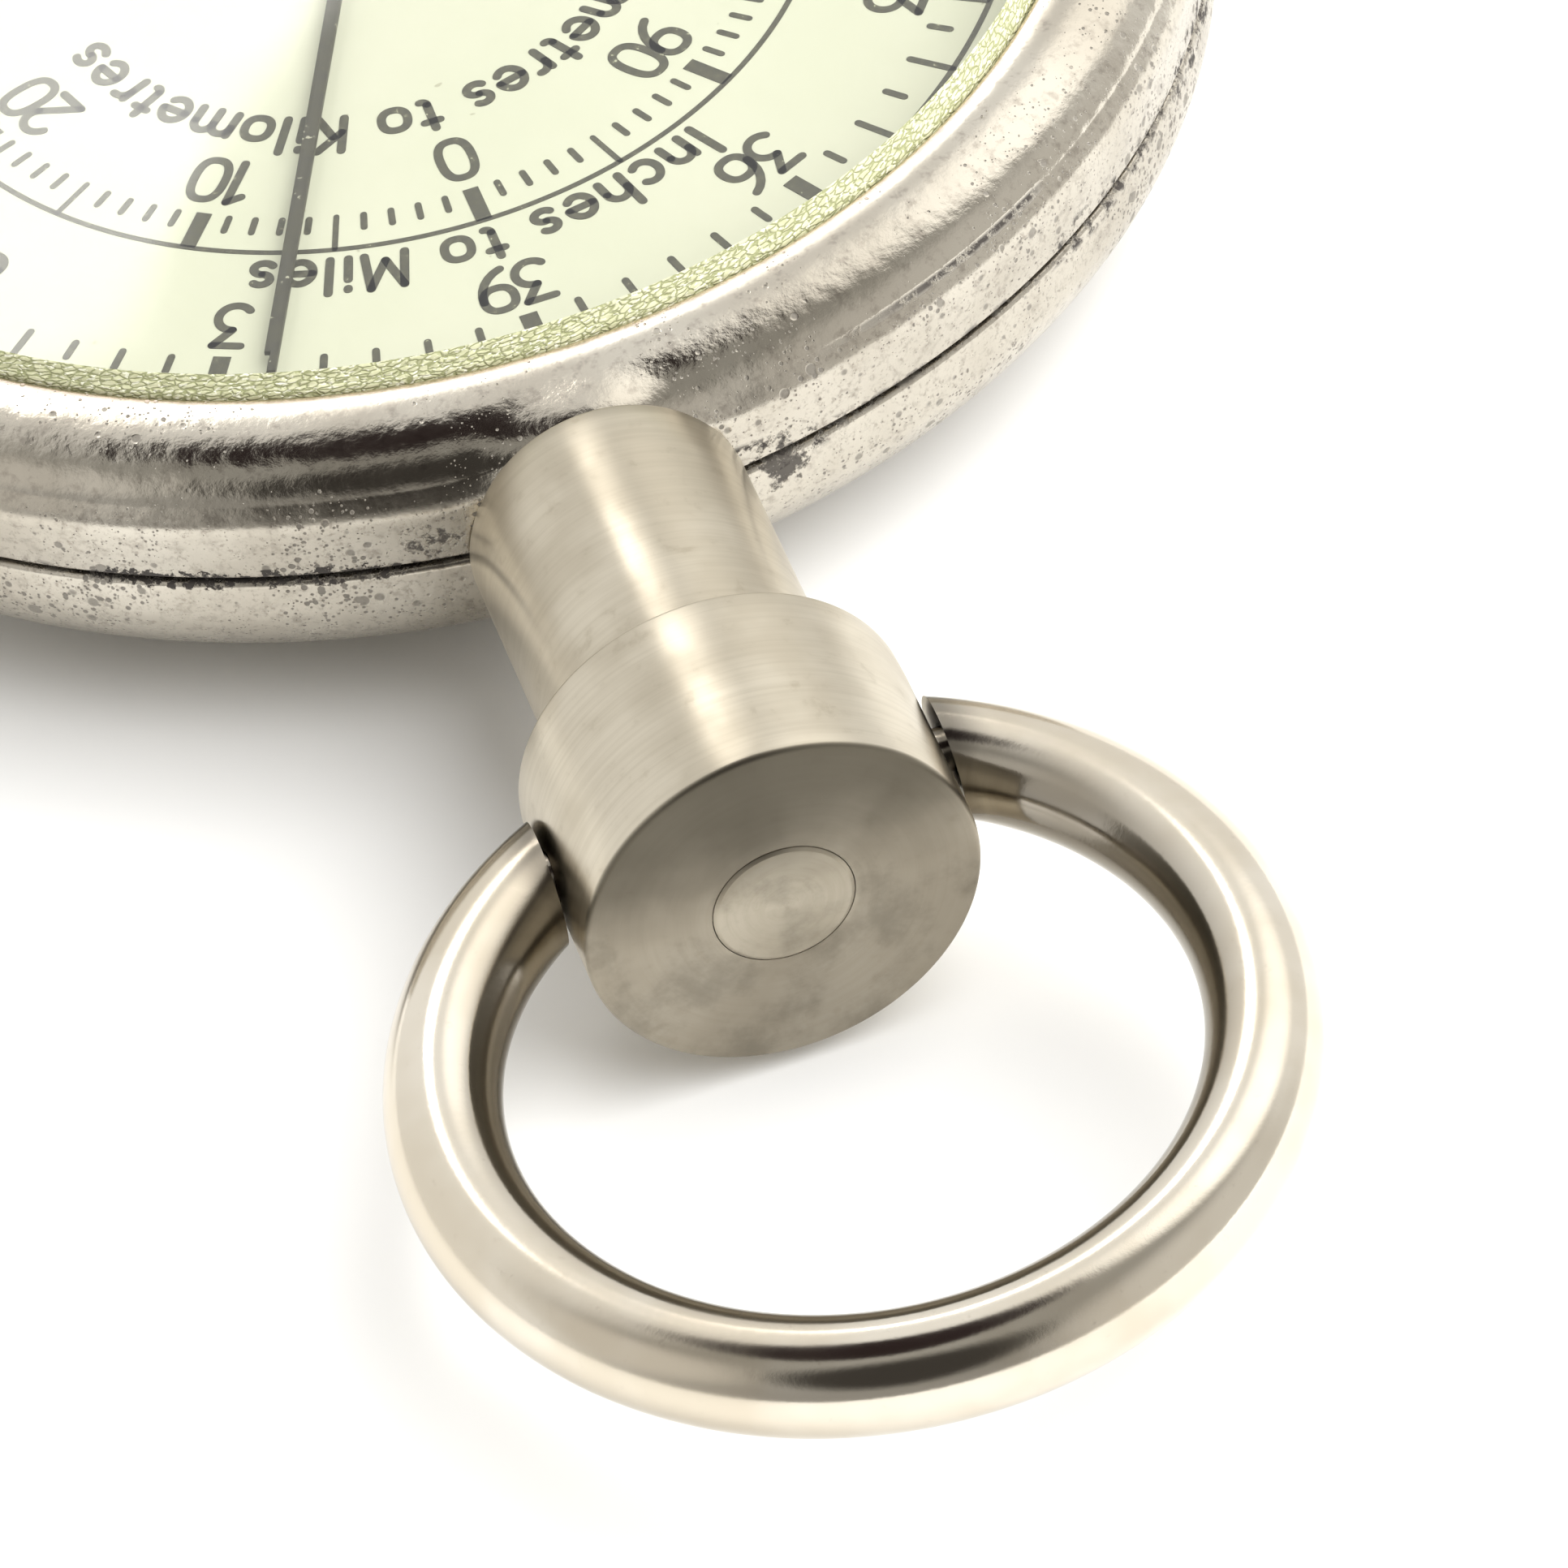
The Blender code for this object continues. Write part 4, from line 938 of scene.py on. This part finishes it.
def saddle_y(radius, angle):
    """Where the neck ends against the case: along its round side, and further in over the top."""
    over_top = max(math.cos(angle), 0.0) ** 2
    return NECK_OVER_TOP * over_top - math.sqrt(SADDLE_RADIUS ** 2 - (radius * math.sin(angle)) ** 2)


def neck(look):
    """The neck: a tube whose inner end follows the case's round side, with a spigot into the case."""
    stations = []
    for radius in (STEM_BORE_RADIUS, SPIGOT_RADIUS):
        stations.append((radius, SPIGOT_END_Y, False))
    for radius, setback in ((SPIGOT_RADIUS, 0.0), (NECK_RADIUS - 0.10, 0.0), (NECK_RADIUS - 0.03, 0.03),
                            (NECK_RADIUS, 0.10), (NECK_RADIUS, 1.2)):
        stations.append((radius, -setback, True))
    for radius, height in rounded([(NECK_RADIUS, NECK_END_Y + 1.0, 0), (NECK_RADIUS, NECK_END_Y, 0.10),
                                   (STEM_BORE_RADIUS, NECK_END_Y, 0)]):
        stations.append((radius, height, False))
    rings = []
    for radius, height, follows_case in stations:
        ring = []
        for step in range(STEM_STEPS):
            angle = TURN * step / STEM_STEPS
            y = height + (saddle_y(radius, angle) if follows_case else 0.0)
            ring.append(along_stem(radius, y, angle))
        rings.append(ring)
    bm = bmesh.new()
    loft(bm, rings, loop=True)
    return dress(add_object("neck_finish", bm), look, "case", ["neck"])


def head(look):
    """The head: a turned drum with a softened rim, faint rings cut in its face, and a socket each side."""
    start, end = HEAD_Y
    outline = rounded([(STEM_BORE_RADIUS, start, 0), (HEAD_RADIUS - 0.02, start, 0.09),
                       (HEAD_RADIUS, start - 0.5, 0), (HEAD_RADIUS, end + 0.5, 0), (HEAD_RADIUS, end, 0.11),
                       (HEAD_RADIUS - 0.5, end, 0)])[:-1]
    outermost, innermost = HEAD_RADIUS - 0.3, STEM_BORE_RADIUS + 0.05
    for step in range(FACE_RINGS * 4 + 1):
        share = step / (FACE_RINGS * 4)
        radius = outermost + (innermost - outermost) * share
        outline.append((radius, end + FACE_RING_DEPTH / 2 * (1 - math.cos(TURN * FACE_RINGS * share))))
    outline.append((STEM_BORE_RADIUS, end + 0.02))
    body = add_object("head_finish", turned(outline, STEM_STEPS, along_stem, loop=True))
    for side in (-1, 1):
        cut(body, side_socket(side))
    return dress(body, look, "case", ["head"])


def side_socket(side):
    """A blind hole for a pintle."""
    bottom = HEAD_RADIUS - SOCKET_DEPTH
    top = HEAD_RADIUS + 0.5
    outline = [(0.0, bottom), (SOCKET_RADIUS, bottom), (SOCKET_RADIUS, top), (0.0, top)]

    def sideways(radius, height, angle):
        y, z = BOW_HINGE_Y + radius * math.cos(angle), STEM_Z + radius * math.sin(angle)
        return Vector((side * height, y, z))

    return turned(outline, 48, sideways)


def stem_rivet(look):
    """The stud through the stem: a head inside the case, and an end spread a little in the head's face."""
    outline = rounded([(0.0, RIVET_HEAD_Y[1], 0), (RIVET_HEAD_RADIUS, RIVET_HEAD_Y[1], 0.1),
                       (RIVET_HEAD_RADIUS, RIVET_HEAD_Y[0], 0), (RIVET_RADIUS, RIVET_HEAD_Y[0], 0),
                       (RIVET_RADIUS, RIVET_END_Y + 0.30, 0), (RIVET_RADIUS + 0.05, RIVET_END_Y + 0.06, 0.02),
                       (RIVET_RADIUS - 0.02, RIVET_END_Y + 0.02, 0.02), (0.0, RIVET_END_Y, 0)])
    rivet = add_object("stem_rivet_finish", turned(outline, 96, along_stem))
    return dress(rivet, look, "case", ["stem_rivet"])


def bow(look):
    """The ring: round wire bent to a circle, its ends cut flat beside the head, a pintle on each."""
    first = math.asin((BOW_END_X - 1.2) / BOW_RADIUS)
    rings = []
    for step in range(BOW_STEPS + 1):
        turn = first + (TURN - 2 * first) * step / BOW_STEPS
        out = Vector((math.sin(turn), math.cos(turn), 0.0))
        middle = Vector((0.0, BOW_CENTRE_Y, 0.0)) + BOW_RADIUS * out
        ring = []
        for side in range(WIRE_STEPS):
            angle = TURN * side / WIRE_STEPS
            offset = math.cos(angle) * out + math.sin(angle) * Vector((0.0, 0.0, 1.0))
            ring.append(middle + BOW_WIRE_RADIUS * offset)
        rings.append(ring)
    bm = bmesh.new()
    loft(bm, rings)
    ends = [edge for edge in bm.edges if edge.is_boundary]
    bmesh.ops.holes_fill(bm, edges=ends)
    wire = add_object("bow_finish", bm)
    gap = bmesh.new()
    bmesh.ops.create_cube(gap, size=1.0)
    bmesh.ops.scale(gap, verts=gap.verts, vec=(2 * BOW_END_X, 7.0, 4.0))
    bmesh.ops.translate(gap, verts=gap.verts, vec=(0.0, -0.5, 0.0))
    cut(wire, gap)
    for side in (-1, 1):
        cut(wire, pintle(side), "UNION")
    drooped = Matrix.Rotation(math.radians(BOW_DROOP_DEG), 4, "X")
    wire.data.transform(Matrix.Translation((0.0, BOW_HINGE_Y * MM, STEM_Z * MM)) @ drooped)
    return dress(wire, look, "bow_ring", ["bow"])


def pintle(side):
    start = HEAD_RADIUS - SOCKET_DEPTH + PINTLE_END_GAP
    outline = rounded([(0.0, start, 0), (PINTLE_RADIUS, start, 0.08), (PINTLE_RADIUS, BOW_END_X + 0.4, 0),
                       (0.0, BOW_END_X + 0.4, 0)])

    def sideways(radius, height, angle):
        return Vector((side * height, radius * math.cos(angle), radius * math.sin(angle)))

    return turned(outline, 40, sideways)


def tracing_wheel(look):
    """The small wheel at the rim: a steel disc with rounded knurls across its edge."""
    bm = bmesh.new()
    count = 8 * WHEEL_KNURLS
    low, high = WHEEL_Z
    side_radius = WHEEL_RADIUS - WHEEL_CHAMFER - KNURL_DEPTH
    layers = [(WHEEL_BORE_RADIUS, low, False), (side_radius, low, False),
              (WHEEL_RADIUS, low + WHEEL_CHAMFER, True), (WHEEL_RADIUS, high - WHEEL_CHAMFER, True),
              (side_radius, high, False), (WHEEL_BORE_RADIUS, high, False)]
    rings = []
    for radius, height, knurled in layers:
        ring = []
        for step in range(count):
            angle = TURN * step / count
            depth = KNURL_DEPTH * (1 - abs(math.cos(WHEEL_KNURLS * angle / 2))) if knurled else 0.0
            ring.append(upright(radius - depth, height, angle) + Vector((0.0, AXLE_Y, 0.0)))
        rings.append(ring)
    loft(bm, rings, loop=True)
    return dress(add_object("tracing_wheel_finish", bm), look, "wheel_arbor", ["tracing_wheel"])


def finish_movement():
    """The movement keeps its CAD meshes and takes machined brass and steel."""
    plate_brass = brass("plate_brass")
    centre_brass = brass("centre_brass")
    intermediate_brass = brass("intermediate_brass", INTERMEDIATE_Y)
    pillar_steel = steel("pillar_steel")
    intermediate_steel = steel("intermediate_steel", INTERMEDIATE_Y)
    axle_steel = steel("axle_steel", AXLE_Y)
    looks = {"front_plate": plate_brass, "back_plate": plate_brass, "centre_wheel": centre_brass,
             "centre_arbor": pillar_steel, "intermediate_wheel": intermediate_brass,
             "intermediate_pinion": intermediate_steel, "wheel_axle": axle_steel}
    for name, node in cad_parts.items():
        if name.startswith("pillar"):
            looks[name] = plate_brass
        elif "screw" in name:
            looks[name] = pillar_steel
        if name in looks:
            node.data.materials.clear()
            node.data.materials.append(looks[name])


# -------------------- studio

CAMERA_TARGET = Vector((0.60, -24.39, 5.19))
CAMERA_DISTANCE = 184.5
CAMERA_AZIMUTH_DEG = 10.378
CAMERA_ELEVATION_DEG = 44.54
CAMERA_ROLL_DEG = -10.34
LENS_MM = 253.2
SENSOR_MM = 36.0
FLOOR_HALF_SIZE = 900.0

# Round patches of the sky: direction, inner and outer edge in degrees, colour
SKY_PATCHES = (((0.80, -0.50, 0.20), 18.0, 48.0, (0.78, 0.76, 0.72)),
               ((-0.80, -0.20, 0.56), 10.0, 30.0, (0.85, 0.83, 0.79)),
               ((-0.12, -0.74, 0.67), 16.0, 30.0, (0.06, 0.055, 0.05)),
               ((-0.02, 0.06, 1.0), 13.0, 19.0, (0.03, 0.02, 0.02)),
               ((0.56, 0.33, 0.76), 10.0, 26.0, (1.9, 1.87, 1.8)))


def camera():
    azimuth = math.radians(CAMERA_AZIMUTH_DEG)
    elevation = math.radians(CAMERA_ELEVATION_DEG)
    flat = math.cos(elevation)
    ahead = Vector((flat * math.sin(azimuth), flat * math.cos(azimuth), -math.sin(elevation)))
    level_right = Vector((math.cos(azimuth), -math.sin(azimuth), 0.0))
    level_up = level_right.cross(ahead)
    roll = math.radians(CAMERA_ROLL_DEG)
    right = level_right * math.cos(roll) + level_up * math.sin(roll)
    up = right.cross(ahead)
    data = bpy.data.cameras.new("camera")
    data.lens = LENS_MM
    data.sensor_width = SENSOR_MM
    data.clip_start = 0.01
    made = bpy.data.objects.new("camera", data)
    place = (CAMERA_TARGET - ahead * CAMERA_DISTANCE) * MM
    made.matrix_world = Matrix.Translation(place) @ Matrix((right, up, -ahead)).transposed().to_4x4()
    bpy.context.scene.collection.objects.link(made)
    bpy.context.scene.camera = made


def floor():
    material, t = new_material("floor_paper")
    grain = t.noise(t.millimetres(), 0.02, 2.0)
    colour = t.blend(t.between(grain, 0.3, 0.7), (0.885, 0.885, 0.875), (0.895, 0.895, 0.885))
    t.surface({"Base Color": colour, "Roughness": 0.9})
    bm = bmesh.new()
    bmesh.ops.create_grid(bm, x_segments=4, y_segments=4, size=FLOOR_HALF_SIZE)
    paper = add_object("floor", bm)
    paper.data.materials.append(material)


def softbox(name, direction, distance, size, watts):
    """A round light of a size, at a distance in a direction from the object and facing it."""
    data = bpy.data.lights.new(name, "AREA")
    data.shape = "DISK"
    data.size = size * MM
    data.energy = watts
    made = bpy.data.objects.new(name, data)
    towards = Vector(direction).normalized()
    middle = Vector((0.0, -12.0, 4.0))
    made.location = (middle + towards * distance) * MM
    made.rotation_euler = towards.to_track_quat("Z", "Y").to_euler()
    bpy.context.scene.collection.objects.link(made)
    return made


def patch(t, ray, direction, inner_deg, outer_deg):
    """1 inside a round patch of the sky, fading to 0 at its outer edge."""
    towards = Vector(direction).normalized()
    nearness = t.add("ShaderNodeVectorMath", {0: ray, 1: towards}, operation="DOT_PRODUCT").outputs["Value"]
    return t.between(nearness, math.cos(math.radians(outer_deg)), math.cos(math.radians(inner_deg)))


def surroundings():
    """A white room, darker in front and overhead, with a lamp, soft bright patches and the dark camera."""
    world = bpy.data.worlds.new("studio")
    t = Tree(world)
    ray = t.add("ShaderNodeTexCoord").outputs["Generated"]
    x, y, z = t.split(ray)
    colour = t.blend(t.between(y, 0.25, -0.95), (1.10, 1.095, 1.08), (0.36, 0.35, 0.33))
    ceiling = t.times(t.between(z, 0.35, 0.75), t.between(y, 0.45, -0.10))
    colour = t.blend(ceiling, colour, (0.42, 0.41, 0.385))
    for direction, inner_deg, outer_deg, tone in SKY_PATCHES:
        colour = t.blend(patch(t, ray, direction, inner_deg, outer_deg), colour, tone)
    height = t.minus(z, 0.71)
    across = t.math("DIVIDE", x, y)
    from_right_edge = t.plus(across, t.times(height, 1.6))
    stripe = t.times(t.between(across, -0.22, -0.19), t.between(from_right_edge, 0.14, 0.11))
    stripe = t.times(stripe, t.between(t.math("ABSOLUTE", height), 0.11, 0.09))
    stripe = t.times(stripe, t.between(y, 0.0, 0.1))
    colour = t.blend(stripe, colour, (4.8, 4.7, 4.55))
    shade = t.add("ShaderNodeBackground", {"Color": colour, "Strength": 1.0})
    t.add("ShaderNodeOutputWorld", {"Surface": shade.outputs[0]})
    bpy.context.scene.world = world


def lights():
    """A soft fill from the right that the metal doesn't mirror."""
    fill = softbox("fill", (0.80, -0.35, 1.0), 450.0, 650.0, 4.2)
    fill.visible_glossy = False


def build():
    bpy.context.scene.view_settings.view_transform = "Standard"
    nickel = worn_nickel()
    stem_metal = satin_nickel()
    ink = dial_ink()
    front_shell(nickel)
    back_cover(nickel)
    crystal(clear_crystal())
    crystal_seal(cracked_seal())
    dial(dial_enamel())
    outer_scale(ink)
    inner_scale(ink)
    hand(hand_lacquer())
    hand_boss(brass("boss_brass"))
    neck(stem_metal)
    head(stem_metal)
    stem_rivet(stem_metal)
    bow(polished_nickel())
    tracing_wheel(steel("wheel_steel", AXLE_Y))
    finish_movement()
    camera()
    floor()
    surroundings()
    lights()


build()
